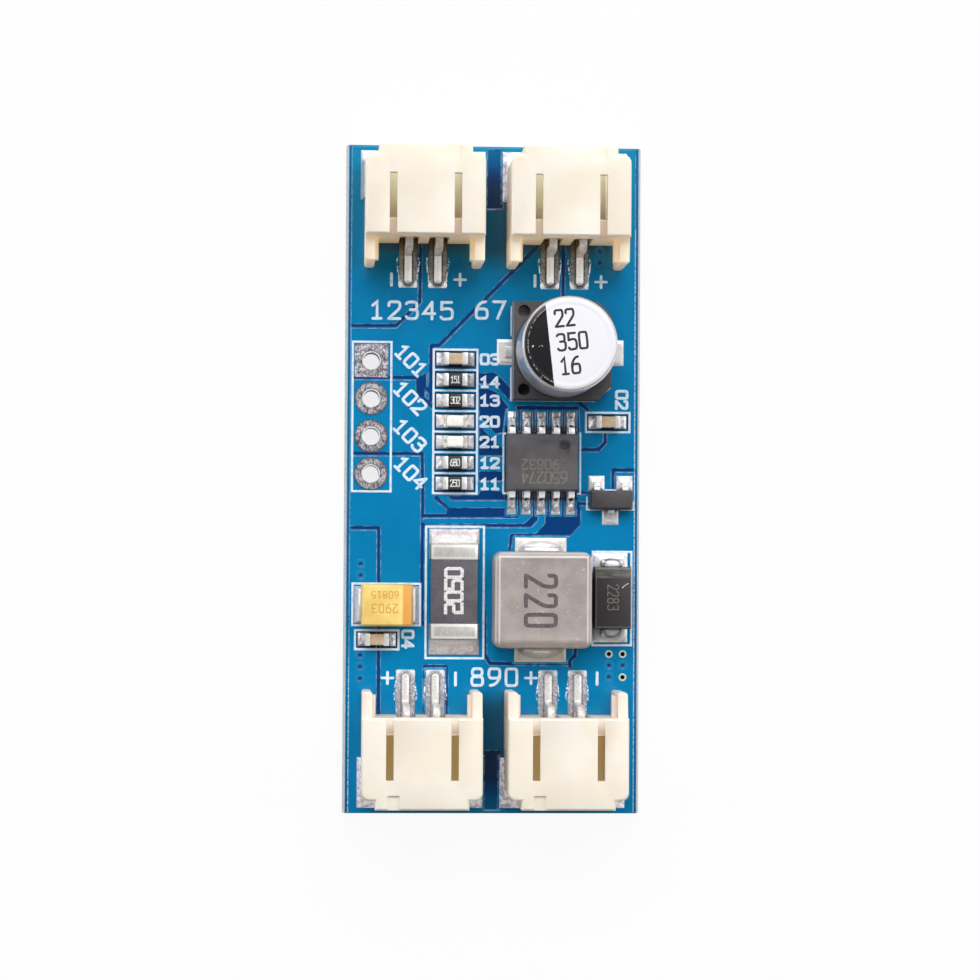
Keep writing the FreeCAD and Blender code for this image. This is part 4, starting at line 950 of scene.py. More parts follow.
def stroke(path, half, base, crown, closed=False, square=False):
    """Section of width 2 x half carried along a path of n x 2 points. At a corner the section lies
    on the line that halves it and is stretched to keep the width. At an open end the section's
    width follows a circle, half x sin(a) at half x cos(a) beyond the end. Returns points, faces."""
    path = np.asarray(path, float)
    if closed:
        path = np.vstack([path, path[:1]])
    side = np.diff(path, axis=0)
    side /= np.hypot(side[:, 0], side[:, 1])[:, None]
    before = np.vstack([side[-1:] if closed else side[:1], side])
    after = np.vstack([side, side[:1] if closed else side[-1:]])
    middle = before + after
    middle /= np.hypot(middle[:, 0], middle[:, 1])[:, None]
    across = np.stack([-middle[:, 1], middle[:, 0]], axis=1)
    width = half / np.clip((middle * before).sum(axis=1), 0.5, 1.0)
    if not closed:
        turns = np.radians([90.0]) if square else CAP_TURNS
        reach = half * (np.ones(1) if square else np.cos(turns))
        start = path[0] - side[0] * reach[:, None]
        end = path[-1] + side[-1] * reach[::-1, None]
        path = np.vstack([start, path, end])
        first, last = np.repeat(across[:1], len(turns), 0), np.repeat(across[-1:], len(turns), 0)
        across = np.vstack([first, across, last])
        width = np.concatenate([half * np.sin(turns), width, half * np.sin(turns[::-1])])
    if closed:
        path, across, width = path[:-1], across[:-1], width[:-1]
    share = np.array([-1.0, 1.0, 0.78, -0.78])
    lift = np.array([0.0, 0.0, 1.0, 1.0])
    flat = path[:, None, :] + across[:, None, :] * (width[:, None] * share)[:, :, None]
    height = np.broadcast_to(base + crown * lift, flat.shape[:2])
    points = np.concatenate([flat, height[:, :, None]], axis=2).reshape(-1, 3)
    rows = len(path)
    faces = grid_faces(rows, 4, round_rows=closed, round_columns=True)[:, ::-1]
    if not closed:
        last = 4 * (rows - 1)
        faces = np.vstack([faces, [[3, 2, 1, 0]], [[last, last + 1, last + 2, last + 3]]])
    return points, faces


def softened(path, times=2):
    """Path with its inner corners cut: each side keeps its points at a quarter and three quarters."""
    path = np.asarray(path, float)
    for _ in range(times):
        first, last = path[:1], path[-1:]
        near = path[:-1] * 0.75 + path[1:] * 0.25
        far = path[:-1] * 0.25 + path[1:] * 0.75
        path = np.vstack([first, np.stack([near, far], axis=1).reshape(-1, 2)[1:-1], last])
    return path


print("pen ready")

# %% Draw the figures
# Each in a box 0.66 wide and 1 high: pen paths, and how often their corners are cut
FIGURES = {
    "0": [([(0.33, 1), (0.62, 1), (0.66, 0.8), (0.66, 0.2), (0.62, 0), (0.33, 0), (0.04, 0), (0, 0.2),
            (0, 0.8), (0.04, 1), (0.33, 1)], 2)],
    "1": [([(0.08, 0.78), (0.34, 1), (0.34, 0)], 0), ([(0.1, 0), (0.58, 0)], 0)],
    "2": [([(0, 0.78), (0.02, 1), (0.33, 1), (0.66, 1), (0.66, 0.62), (0.4, 0.38), (0, 0)], 2),
          ([(0, 0), (0.66, 0)], 0)],
    "3": [([(0, 0.9), (0.1, 1), (0.6, 1), (0.64, 0.8), (0.6, 0.54), (0.24, 0.54)], 2),
          ([(0.24, 0.54), (0.66, 0.54), (0.68, 0.25), (0.6, 0), (0.1, 0), (0, 0.12)], 2)],
    "4": [([(0.5, 0), (0.5, 1)], 0), ([(0.5, 1), (0, 0.32), (0.66, 0.32)], 0)],
    "5": [([(0.62, 1), (0.05, 1), (0.03, 0.58)], 0),
          ([(0.03, 0.58), (0.35, 0.64), (0.68, 0.58), (0.68, 0.05), (0.4, 0), (0.1, 0), (0, 0.12)], 2)],
    "6": [([(0.56, 1), (0.3, 0.95), (0, 0.6), (0, 0.25), (0.02, 0), (0.33, 0), (0.66, 0), (0.66, 0.56),
            (0.33, 0.56)], 2),
          ([(0.33, 0.56), (0.1, 0.56), (0.04, 0.44)], 2)],
    "7": [([(0, 1), (0.66, 1), (0.24, 0)], 0)],
    "8": [([(0.33, 0.58), (0.04, 0.58), (0.04, 1), (0.33, 1), (0.62, 1), (0.62, 0.58), (0.33, 0.58)], 2),
          ([(0.33, 0.52), (0, 0.52), (0, 0), (0.33, 0), (0.66, 0), (0.66, 0.52), (0.33, 0.52)], 2)],
    "9": [([(0.1, 0), (0.36, 0.05), (0.66, 0.4), (0.66, 0.75), (0.64, 1), (0.33, 1), (0, 1), (0, 0.44),
            (0.33, 0.44)], 2),
          ([(0.33, 0.44), (0.56, 0.44), (0.62, 0.56)], 2)],
}
# The same for blocky figures, whose corners stay
BLOCK_FIGURES = {
    "0": [([(0, 0.12), (0.12, 0), (0.54, 0), (0.66, 0.12), (0.66, 0.88), (0.54, 1), (0.12, 1), (0, 0.88),
            (0, 0.12)], 0)],
    "2": [([(0, 1), (0.54, 1), (0.66, 0.88), (0.66, 0.58), (0.54, 0.5), (0.1, 0.5), (0, 0.4), (0, 0),
            (0.66, 0)], 0)],
    "5": [([(0.66, 1), (0, 1), (0, 0.56), (0.54, 0.56), (0.66, 0.46), (0.66, 0.12), (0.54, 0), (0, 0)], 0)],
}
print(len(FIGURES), "figures,", len(BLOCK_FIGURES), "blocky ones")


# %% Write a row of figures
FIGURE_WIDTH = 0.66


def figures(shape, text, start, along, height, half, base, crown=SILK_CROWN, narrow=1.0, gap=0.34,
            blocky=False):
    """Adds a row of figures. Start is the lower left corner, along the direction of writing, and
    the figures stand to its left. Gap is the space between figures as a share of the height.
    Strokes that cross get slightly different crowns, so no two faces share one plane."""
    start = np.array(start, float)
    along = np.array(along, float) / np.hypot(*along)
    upward = np.array([-along[1], along[0]])
    pen = 0.0
    for letter in text:
        for path, cuts in (BLOCK_FIGURES if blocky else FIGURES)[letter]:
            flat = softened(path, 0 if blocky else cuts)
            flat = start + (flat[:, :1] * narrow * height + pen) * along + flat[:, 1:] * height * upward
            closed = bool(np.hypot(*(flat[0] - flat[-1])) < 1e-9)
            if closed:
                flat = flat[:-1]
            layer = LAYER_STEP * (len(shape.faces) % 4)
            shape.add(*stroke(flat, half, base, crown + layer, closed=closed, square=blocky))
        pen += height * (FIGURE_WIDTH * narrow + gap)
    return shape


def frame_line(shape, left, right, low, high, half, base):
    """Adds a printed rectangle."""
    path = [(left, low), (right, low), (right, high), (left, high)]
    return shape.add(*stroke(path, half, base, SILK_CROWN, closed=True))


print("writing ready")

# %% Ink for the printed lines
INK = (0.78, 0.89, 1.0)
INK_THIN = (0.56, 0.74, 0.93)

ink = Finish("board_ink", Roughness=0.55)
ink.paint(INK_THIN, (ink.noise(0.30, 3.0).step(0.34, 0.5), INK))
ink.relief(ink.noise(0.12, 2.0) * 0.01)
print("ink ready")

# %% Print the frames and figures
SILK_BASE = BOARD_TOP + SILK_LIFT
SILK_LINE = 0.075
SILK_PEN = 0.098
silk = Shape()
for left, right, low, high in [
    (-9.48, -6.88, -0.90, 9.18),
    (-4.02, -1.07, -1.00, 8.71),
    (6.31, 9.26, 3.22, 4.53),
    (-9.20, -6.28, -11.52, -10.24),
    (-4.46, -0.56, -12.10, -3.26),
    (6.81, 9.43, -11.18, -4.88),
    (-9.39, -4.84, -9.90, -7.11),
]:
    frame_line(silk, left, right, low, high, SILK_LINE, SILK_BASE)
for y in (7.34, 5.94, 4.56, 3.16, 1.77, 0.36):
    silk.add(*stroke([(-4.02, y), (-1.07, y)], SILK_LINE * 0.9, SILK_BASE, SILK_CROWN + LAYER_STEP))
OPEN_LINES = [
    [(0.87, 3.07), (0.72, 3.07), (0.72, -0.96), (0.92, -0.96)],
    [(5.93, 3.12), (5.93, -0.97), (5.77, -0.97)],
    [(1.22, 9.7), (1.22, 11.62), (1.50, 11.92), (3.0, 11.92)],
    [(1.22, 7.5), (1.22, 5.32), (6.86, 5.32), (7.90, 6.20), (7.90, 7.4)],
    [(7.86, 9.8), (7.86, 10.9), (6.9, 11.86), (5.6, 11.86)],
    [(6.40, -1.2), (6.40, -2.02), (7.30, -2.02)],
    [(8.68, -2.02), (9.56, -2.02), (9.56, -1.5)],
    [(7.66, -0.7), (8.34, -0.7)],
]
for path in OPEN_LINES:
    silk.add(*stroke(path, SILK_LINE * 0.85, SILK_BASE, SILK_CROWN))
for text, start, along, height, narrow, gap in [
    ("12345", (-8.25, 10.77), (1, 0), 1.13, 1.0, 0.38),
    ("67", (-1.17, 10.85), (1, 0), 1.13, 1.0, 0.38),
    ("890", (-1.33, -13.92), (1, 0), 1.12, 1.0, 0.37),
    ("101", (-6.66, 8.42), (1, -1), 0.90, 1.0, 0.26),
    ("102", (-6.74, 5.92), (1, -1), 0.90, 1.0, 0.30),
    ("103", (-6.74, 3.38), (1, -1), 0.90, 1.0, 0.30),
    ("104", (-6.66, 0.86), (1, -1), 0.90, 1.0, 0.30),
    ("03", (-0.83, 7.75), (1, 0), 0.64, 1.2, 0.30),
    ("14", (-0.83, 6.21), (1, 0), 0.64, 1.2, 0.30),
    ("13", (-0.83, 4.96), (1, 0), 0.64, 1.2, 0.30),
    ("20", (-0.82, 3.54), (1, 0), 0.64, 1.2, 0.30),
    ("21", (-0.81, 2.16), (1, 0), 0.64, 1.2, 0.30),
    ("12", (-0.80, 0.74), (1, 0), 0.64, 1.2, 0.30),
    ("11", (-0.79, -0.68), (1, 0), 0.64, 1.2, 0.30),
    ("02", (8.36, 6.00), (0, -1), 0.73, 1.0, 0.28),
    ("04", (-6.01, -10.27), (0, -1), 0.71, 1.0, 0.26),
]:
    figures(silk, text, start, along, height, SILK_PEN, SILK_BASE, narrow=narrow, gap=gap)
MINUS_BARS = [(-6.91, 13.03, 13.80), (2.80, 13.06, 13.78), (-2.43, -13.9, -13.08), (7.14, -13.82, -13.04)]
PLUS_SIGNS = [(-2.28, 13.45), (7.29, 13.40), (-7.0, -13.44), (2.67, -13.41)]
PLUS_ARM = 0.38
for x, low, high in MINUS_BARS:
    silk.add(*stroke([(x, low), (x, high)], 0.10, SILK_BASE, SILK_CROWN))
for x, y in PLUS_SIGNS:
    silk.add(*stroke([(x - PLUS_ARM, y), (x + PLUS_ARM, y)], 0.085, SILK_BASE, SILK_CROWN))
    silk.add(*stroke([(x, y - PLUS_ARM), (x, y + PLUS_ARM)], 0.095, SILK_BASE + 0.002, SILK_CROWN))
board_print = silk.build("board_print", "board_mask", [ink], smooth=False)
print("print:", len(board_print.data.polygons), "faces")

# %% [markdown]
# ## Tin and solder
#
# Lands, leads and holes are tinned, and tin is never one clean grey: flux leaves it dull in
# patches, grains roughen it, and fresh faces shine. One function makes these metals. It mixes a
# dull and a bright tone by noise at two sizes, and lets the same noise move the roughness.

# %% Make the tinned finishes
GRAIN_DARK = (0.16, 0.15, 0.16)
# Bright and dull tone, size of the patches, roughness, size of the grains, depth of the pits, share
# of dark in the grains, and how metallic it is: tin on rough grains scatters light like paint
TINS = {
    "solder": ((0.95, 0.93, 0.95), (0.46, 0.43, 0.46), 0.3, 0.34, 0.07, 0.012, 0.60, 0.70),
    "land_tin": ((0.97, 0.96, 0.97), (0.62, 0.59, 0.62), 0.4, 0.38, 0.07, 0.008, 0.45, 0.60),
    "clean_solder": ((0.90, 0.88, 0.87), (0.74, 0.71, 0.73), 0.9, 0.42, 0.12, 0.004, 0.15, 0.80),
    "clean_land": ((0.84, 0.83, 0.83), (0.68, 0.65, 0.68), 0.9, 0.48, 0.12, 0.004, 0.15, 0.65),
    "lead_tin": ((0.92, 0.91, 0.91), (0.72, 0.70, 0.70), 0.5, 0.36, 0.24, 0.001, 0.15, 0.50),
    "contact_tin": ((0.84, 0.82, 0.79), (0.60, 0.57, 0.54), 0.4, 0.48, 0.15, 0.003, 0.50, 0.30),
    "foot_tin": ((0.95, 0.94, 0.92), (0.80, 0.78, 0.77), 0.3, 0.32, 0.14, 0.002, 0.45, 0.30),
    "tab_solder": ((1.0, 0.98, 0.99), (0.66, 0.58, 0.63), 0.3, 0.34, 0.13, 0.020, 0.65, 0.20),
    "cap_tin": ((1.0, 0.99, 0.98), (0.88, 0.85, 0.82), 0.35, 0.34, 0.07, 0.006, 0.15, 0.45),
    "lamp_ends": ((0.99, 0.96, 0.88), (0.70, 0.63, 0.54), 0.16, 0.36, 0.07, 0.012, 0.50, 0.40),
}


def tinned(name, bright, dull, patch, rough, grain, pits, dark, metal):
    """Metal that goes from dull to bright over patches of that many millimetres, with grains."""
    finish = Finish(name, Metallic=metal)
    patches = finish.noise(patch, 3.0, 0.6).step(0.36, 0.62)
    grains = finish.noise(grain, 2.0, 0.6)
    speck = grains.fall(0.26, 0.46)
    finish.tone = finish.layers(dull, (patches, bright), (speck * dark, GRAIN_DARK))
    finish.paint(finish.tone)
    finish.set("Roughness", patches * -0.16 + rough + 0.10 + speck * 0.15)
    finish.relief((grains + patches) * pits)
    return finish


tin = {name: tinned(name, *row) for name, row in TINS.items()}
print(len(tin), "tinned finishes")

# %% Paint light onto some of them
TIP_OUT = 2.66


def beside_contact(finish):
    """Distance sideways from the nearest contact's middle, and distance out from the rear wall."""
    x, y, z = finish.place()
    return abs(abs(abs(x) - SOCKET_X) - CONTACT_X), SOCKET_REAR - abs(y)


finish = tin["clean_land"]
beside_can = abs(finish.place()[1] - CENTRE["electrolytic"][1])
# The lands level with the can glow a little: painted light in the can's shade.
finish.glow(finish.blend(beside_can.step(1.0, 1.5), (0.15, 0.145, 0.145), BLACK))
finish = tin["contact_tin"]
# On the supply side the contacts glow a little: painted light.
finish.glow(finish.blend(finish.at_supply(), BLACK, (0.07, 0.055, 0.035)))
finish = tin["foot_tin"]
lane, out = beside_contact(finish)
tip = (lane * lane + (out - TIP_OUT) ** 2.0).fall(0.012, 0.035)
finish.paint(finish.tone, (tip * 0.6, (0.45, 0.38, 0.36)))
# On the supply side the feet glow: painted light.
finish.glow(finish.blend(finish.at_supply(), BLACK, (0.24, 0.235, 0.23)))
finish = tin["tab_solder"]
# The tabs' solder glows in streaks: painted light.
glow_streaks = finish.noise(0.30, 3.0, 0.6).step(0.40, 0.58)
finish.glow(finish.blend(glow_streaks, (0.05, 0.042, 0.048), (0.24, 0.225, 0.235)))
print("four of them glow a little")

# %% [markdown]
# ## Joints that show a shape
#
# Some joints are large enough in the picture to show more than tin: a dark seam along a contact's
# foot and a browner tone towards the wall behind it, a bowed slope in front of a big terminal, a
# round lump over a folded lead. Some of these carry painted shade, painted highlights and painted
# light. Each gets a finish that works out its own distances from the joint's place.

# %% Tin the contacts' seats
FOOT_OUT = 2.50
REAR_BROWN = (0.19, 0.135, 0.065)

seat = Finish("seat_solder", Metallic=0.25)
lane, out = beside_contact(seat)
supply = seat.at_supply()
grains = seat.noise(0.12, 3.0, 0.7)
spots = seat.noise(0.24, 2.0).step(0.48, 0.62)
from_foot = (lane * lane + (out - FOOT_OUT).largest(0.0) ** 2.0) ** 0.5
past_foot = from_foot.step(0.42, 0.54) * out.step(2.45, 2.70)
seam = abs(from_foot - 0.30).fall(0.025, 0.07)
# The seat is a darker grey on the supply side: painted shade. The white line round the foot on the battery
# side is a painted highlight.
seat.paint(
    (0.56, 0.53, 0.58),
    (supply, (0.40, 0.41, 0.39)),
    (spots * (0.65 - supply * 0.3), (0.86, 0.85, 0.87)),
    (grains.fall(0.38, 0.50) * (supply * 0.25 + 0.4), (0.05, 0.05, 0.055)),
    (grains.step(0.56, 0.66) * 0.4, (0.92, 0.91, 0.92)),
    # Browner towards the rear wall on the supply side.
    (supply * out.fall(0.2, 0.9) * 0.9, REAR_BROWN),
    (past_foot, (1.0, 0.99, 0.97)),
    (from_foot.step(0.50, 0.58) * (1.0 - supply) * spots, (1.0, 0.99, 1.0)),
    (seam * (supply * 0.3 + 0.5), (0.035, 0.033, 0.035)),
)
# Past the foot on the supply side the seat glows: painted light.
seat.glow(seat.blend(past_foot * supply * grains.step(0.38, 0.50), BLACK, (0.30, 0.29, 0.29)))
seat.roughen(grains, 0.30, 0.50)
seat.relief(grains * 0.014 + spots * 0.01)
print("seats have", len(seat.tree.nodes), "nodes")

# %% Tin the larger joints
SHUNT_END, COIL_END, LUMP_END = 3.175, 3.25, 2.08


def past_end(finish, part, end):
    """Place across and along the board from a part's middle, and how far it lies past its end."""
    x, y, z = finish.place()
    across, along = x - CENTRE[part][0], y - CENTRE[part][1]
    return across, along, abs(along) - end


shunt_solder = Finish("shunt_solder", Metallic=0.3)
across, along, out = past_end(shunt_solder, "sense_resistor", SHUNT_END)
bow = out + across ** 2.0 * 0.09
grains = shunt_solder.noise(0.10, 3.0, 0.65)
clouds = shunt_solder.noise(0.5, 3.0, 0.6).step(0.36, 0.64)
shunt_solder.paint(
    (0.74, 0.72, 0.69),
    (bow.step(0.40, 0.72), shunt_solder.blend(clouds, (0.50, 0.44, 0.49), (0.72, 0.69, 0.64))),
    (abs(bow - 0.46).fall(0.0, 0.18) * 0.35, (0.36, 0.33, 0.35)),
    (grains.fall(0.32, 0.50) * 0.35, (0.20, 0.18, 0.19)),
    (out.fall(0.03, 0.10) * 0.6, (0.12, 0.10, 0.09)),
)
shunt_solder.roughen(grains, 0.34, 0.50)
shunt_solder.relief((grains + clouds) * 0.01)

coil_solder = Finish("coil_solder", Metallic=0.3)
across, along, out = past_end(coil_solder, "inductor", COIL_END)
arch = oval(across, out, 1.5, 0.70)
grains = coil_solder.noise(0.10, 3.0, 0.6)
clouds = coil_solder.noise(0.6, 3.0, 0.6).step(0.36, 0.64)
bar = abs(across).fall(0.50, 0.58) * abs(out - 0.26).fall(0.07, 0.12)
# The lower land is darker and warmer, and a grey arch lies on the slope at each terminal: painted shade.
coil_solder.paint(
    (0.74, 0.72, 0.72),
    (clouds, (0.95, 0.94, 0.93)),
    (along.fall(-0.1, 0.1) * 0.6, (0.60, 0.52, 0.40)),
    (arch.step(0.45, 0.95) * arch.fall(0.97, 1.10) * 0.6, (0.34, 0.33, 0.35)),
    (bar, (0.99, 0.98, 0.97)),
)
coil_solder.roughen(grains, 0.34, 0.48)
coil_solder.relief(grains * 0.006 + bar * 0.02)

lump_solder = Finish("lump_solder", Metallic=0.4)
across, along, out = past_end(lump_solder, "rectifier", LUMP_END)
from_lump = oval(across, out, 0.62, 0.56)
grains = lump_solder.noise(0.10, 3.0, 0.6)
lump = from_lump.fall(0.92, 0.98)
# The lump is bright in the middle and grey towards its edge, with a dark ring round it: painted highlight
# and painted shade.
dome_shading = lump_solder.blend(from_lump.step(0.45, 0.95), (0.97, 0.96, 0.96), (0.50, 0.50, 0.52))
lump_solder.paint(
    (0.80, 0.79, 0.79),
    (from_lump.step(1.5, 1.7), (0.96, 0.95, 0.94)),
    (lump, dome_shading),
    (abs(from_lump - 1.0).fall(0.02, 0.26) * 0.7, (0.12, 0.11, 0.115)),
    (abs(from_lump - 2.05).fall(0.0, 0.20) * 0.35, (0.30, 0.31, 0.36)),
    (grains.fall(0.30, 0.46) * 0.3, (0.20, 0.18, 0.17)),
)
lump_solder.roughen(grains, 0.28, 0.44)
lump_solder.relief(grains * 0.008 + lump * 0.05)
print("three joint finishes")

# %% [markdown]
# ## Plated holes
#
# The header's rings were tinned by dipping: dull and streaked on top. The bore and the hole's rim
# are painted bright and less metallic, as painted light. The kept eyelets get that finish. A via is a
# much smaller plated hole. Most are covered by the coat, which sags into them, and three are open
# and tinned. Each is a ring that dips to its middle, and an open one is painted near-black below the
# top, as painted shade.

# %% Tin the header's rings
RING_RADIUS = 1.12
HOLE_RIM = 0.63

ring_tin = Finish("ring_tin")
x, y, z = ring_tin.place()
radius = oval(x - HEADER_X, ring_tin.wrap(y - HEADER_Y, HEADER_PITCH))
round_land = (y - HEADER_Y).fall(-1.3, -1.2)
rim = radius.step(RING_RADIUS - 0.16, RING_RADIUS) * round_land
grains = ring_tin.noise(0.12, 3.0, 0.75, (1.2, 0.55, 1.0))
patches = ring_tin.noise(0.42, 3.0, 0.6).step(0.36, 0.62)
# The bore and a ring at the hole's rim are painted bright and less metallic: painted light.
lit_bore = z.fall(BOARD_TOP - 0.04, BOARD_TOP + 0.01)
inner = radius.fall(HOLE_RIM - 0.03, HOLE_RIM + 0.02)
ring_tin.paint(
    (0.085, 0.078, 0.10),
    (patches * 0.35 + grains.step(0.40, 0.60) * 0.65, (0.72, 0.70, 0.75)),
    (rim * grains.step(0.34, 0.54) * 0.9, (0.045, 0.045, 0.065)),
    (inner, (0.84, 0.84, 0.86)),
    (abs(radius - HOLE_RIM - 0.04).fall(0.02, 0.06) * 0.5, (0.15, 0.14, 0.15)),
    (lit_bore, (0.62, 0.63, 0.66)),
)
ring_tin.set("Metallic", 1.0 - lit_bore.largest(inner) * 0.8)
ring_tin.roughen(grains, 0.36, 0.55)
ring_tin.relief(grains * 0.014 + patches * 0.01)
refinish("header_eyelets", ring_tin)
print("rings have", len(ring_tin.tree.nodes), "nodes")

# %% Raise the vias
VIA_SIDES = 24
VIA_DEPTH = 0.6
# Radii, and heights over the board's top, from the outside to the middle
TENTED = [(0.37, 0.0), (0.34, 0.009), (0.24, 0.010), (0.19, -0.01), (0.13, -0.04), (0.07, -0.06),
          (0.0, -0.065)]
OPEN = [(0.27, 0.0), (0.25, 0.03), (0.18, 0.032), (0.15, 0.02), (0.14, -0.04), (0.14, -0.5), (0.0, -0.5)]

via_mask = Finish("via_mask", Roughness=0.25)
x, y, z = via_mask.place()
sunk = z.step(BOARD_TOP - 0.06, BOARD_TOP - 0.035)
shallow = z.step(BOARD_TOP - 0.004, BOARD_TOP + 0.008)
via_mask.paint((0.002, 0.040, 0.20), (sunk, MASK_NAVY), (shallow, MASK_BLUE))
via_mask.relief(via_mask.noise(0.08) * 0.003)
via_rim = Finish("via_rim", Roughness=0.35)
x, y, z = via_rim.place()
# Below the board's top the open via's bore and its floor are painted near-black: painted shade.
via_rim.paint((0.004, 0.005, 0.006), (z.step(BOARD_TOP - 0.03, BOARD_TOP), (0.62, 0.68, 0.50)))
vias = Shape()
for kind, places, profile in ((0, TENTED_VIAS, TENTED), (1, OPEN_VIAS, OPEN)):
    radius, height = np.array(profile).T
    for place in places:
        vias.add(*turned_form(radius, BOARD_TOP + height, place, VIA_SIDES), kind)
vias = vias.build("via_rings", "tin", [via_mask, via_rim], floor=BOARD_TOP - VIA_DEPTH)
print("vias:", len(vias.data.polygons), "faces")

# %% [markdown]
# ## Solder
#
# Molten solder pulls itself into smooth hollow slopes: high against the metal it wets, thin at the
# land's rim. A height over the land says this well. At each point of a grid the height is the land,
# plus the climb of each terminal times e to the minus distance over run, held down towards the rim.
# A little seeded unevenness keeps two joints from being twins.

# %% Give each joint its look
JOINT_FINISHES = [tin["solder"], tin["land_tin"], tin["clean_solder"], tin["clean_land"], seat,
                  tin["tab_solder"], shunt_solder, coil_solder, lump_solder]
# How ragged the solder is, and the numbers of the finishes of its slope and of its land
PASTY, CLEAN, SEAT, TAB = (1.0, 0, 1), (0.12, 2, 3), (1.0, 4, 4), (1.0, 5, 5)
CLEAN_PARTS = ["supply_socket_left_tabs", "tantalum", "electrolytic", "switch_transistor", "charged_lamp",
               "charging_lamp"]
LOOKS = {"sense_resistor": (0.3, 6, 6), "inductor": (0.12, 7, 7), "rectifier": (0.2, 8, 8)}
for name, centre, turn in SOCKETS:
    LOOKS[name], LOOKS[name + "_tabs"] = SEAT, TAB
for name in CLEAN_PARTS:
    LOOKS[name] = CLEAN
print(len(LOOKS), "parts with a look of their own")

# %% Pour the joints
RIM_STEPS = np.array([0.0, 0.012, 0.04])
JOINT_PITCH = 0.055
JOINT_DEPTH = 0.02
LAND_RISE = LAND_TOP - BOARD_TOP
PUDDLE = 0.035
HELD_OVER = 0.22
UNEVEN = 0.12
SEAT_SWELL = {0: 0.04, 180: 0.09}
random = np.random.default_rng(7)


def rim_spaced(low, high):
    """Even spacing with three closer lines at both ends, where the land rounds over."""
    count = max(3, int(round((high - low - 2 * RIM_STEPS[-1]) / JOINT_PITCH)))
    inner = np.linspace(low + RIM_STEPS[-1], high - RIM_STEPS[-1], count)
    return np.concatenate([low + RIM_STEPS[:-1], inner, (high - RIM_STEPS[:-1])[::-1]])


def smooth(value):
    """From 0 to 1 with level ends, as 3 v^2 - 2 v^3."""
    value = np.clip(value, 0, 1)
    return value * value * (3 - 2 * value)


def joint(shape, centre, turn, row, look):
    """Land and solder of one terminal. A contact's seat swells at its waist by a sine."""
    ragged, slope_kind, land_kind = look
    land, foot, climb, run = row
    left, right, low, high = land
    xs, ys = rim_spaced(left, right), rim_spaced(low, high)
    x, y = (a.ravel() for a in np.meshgrid(xs, ys, indexing="ij"))
    inset_x = np.minimum(x - left, right - x)
    inset_y = np.minimum(y - low, high - y)
    rim = np.minimum(inset_x, inset_y)
    off_x = np.maximum(np.maximum(foot[0] - x, x - foot[1]), 0)
    off_y = np.maximum(np.maximum(foot[2] - y, y - foot[3]), 0)
    off = np.hypot(off_x, off_y)
    phase = random.uniform(0, 6.28, 4)
    waves = np.sin(x * 9 + phase[0]) * np.sin(y * 7 + phase[1])
    waves += 0.6 * np.sin(x * 19 + phase[2]) * np.sin(y * 17 + phase[3])
    held = smooth(rim / HELD_OVER)
    slope = climb * np.exp(-off / run) * (0.35 + 0.65 * held) * (1 + UNEVEN * ragged * waves)
    puddle = PUDDLE * held * (1 + 0.4 * ragged * waves)
    z = BOARD_TOP - SUNK + (LAND_RISE + SUNK) * np.sqrt(smooth(rim / RIM_STEPS[-1]))
    z += (slope + puddle) * smooth(rim / 0.05)
    if look is SEAT:
        middle = (left + right) / 2
        waist = np.sin(np.pi * np.clip((y - low) / (high - low), 0, 1))
        x = middle + (x - middle) * (1 + SEAT_SWELL[turn] * waist)
    world_x, world_y = turned(x, y, centre, turn)
    points = np.stack([world_x, world_y, z], axis=1)
    faces = grid_faces(len(xs), len(ys))
    flat = off[faces].mean(axis=1) > 2.2 * run
    shape.add(points, faces, np.where(flat, land_kind, slope_kind))


joints = Shape()
for name, centre, turn, rows in SOLDERED:
    for row in rows:
        joint(joints, centre, turn, row, LOOKS.get(name, PASTY))
solder_joints = joints.build("solder_joints", "tin", JOINT_FINISHES, floor=BOARD_TOP - JOINT_DEPTH,
                             replaces=("solder_lands", "solder_fillets"))
print("joints:", len(solder_joints.data.polygons), "faces")

# %% [markdown]
# ## Sockets
#
# A socket is moulded in ivory nylon, which is a little translucent, so light goes warm where it
# passes through thin walls and into the slots. The imported housing has every wall, slot and step.
# What moulding adds is a small radius on each edge and a fine mottled skin, so the housing is
# dressed, not modelled again. Where no lamp reaches, in the battery slots and behind the supply
# sockets, a faint warm glow is painted light that stands for light coming through the nylon, and
# the slots, the pockets and the grooves get painted shade tones. The contacts and tabs are
# stamped and tinned, and are dressed as well.

# %% Mould the sockets
NYLON_PALE = (0.975, 0.900, 0.800)
NYLON_WARM = (0.945, 0.850, 0.715)
GROOVE_SHADE = (0.62, 0.465, 0.355)
SLOT_OLIVE_SHADE = (0.64, 0.60, 0.40)
SLOT_BROWN_SHADE = (0.52, 0.41, 0.26)
POCKET_SHADE = (0.42, 0.31, 0.18)
WARM_SHADE_IVORY = (0.86, 0.745, 0.64)
SHADE_GLOW = (0.19, 0.115, 0.035)
SLOT_GLOW = (0.19, 0.125, 0.045)
SLOT_MIDDLES = (2.67, 6.93)
GROOVE_FRONT = 16.93
SLOT_END = 20.7
ROOF = 7.0

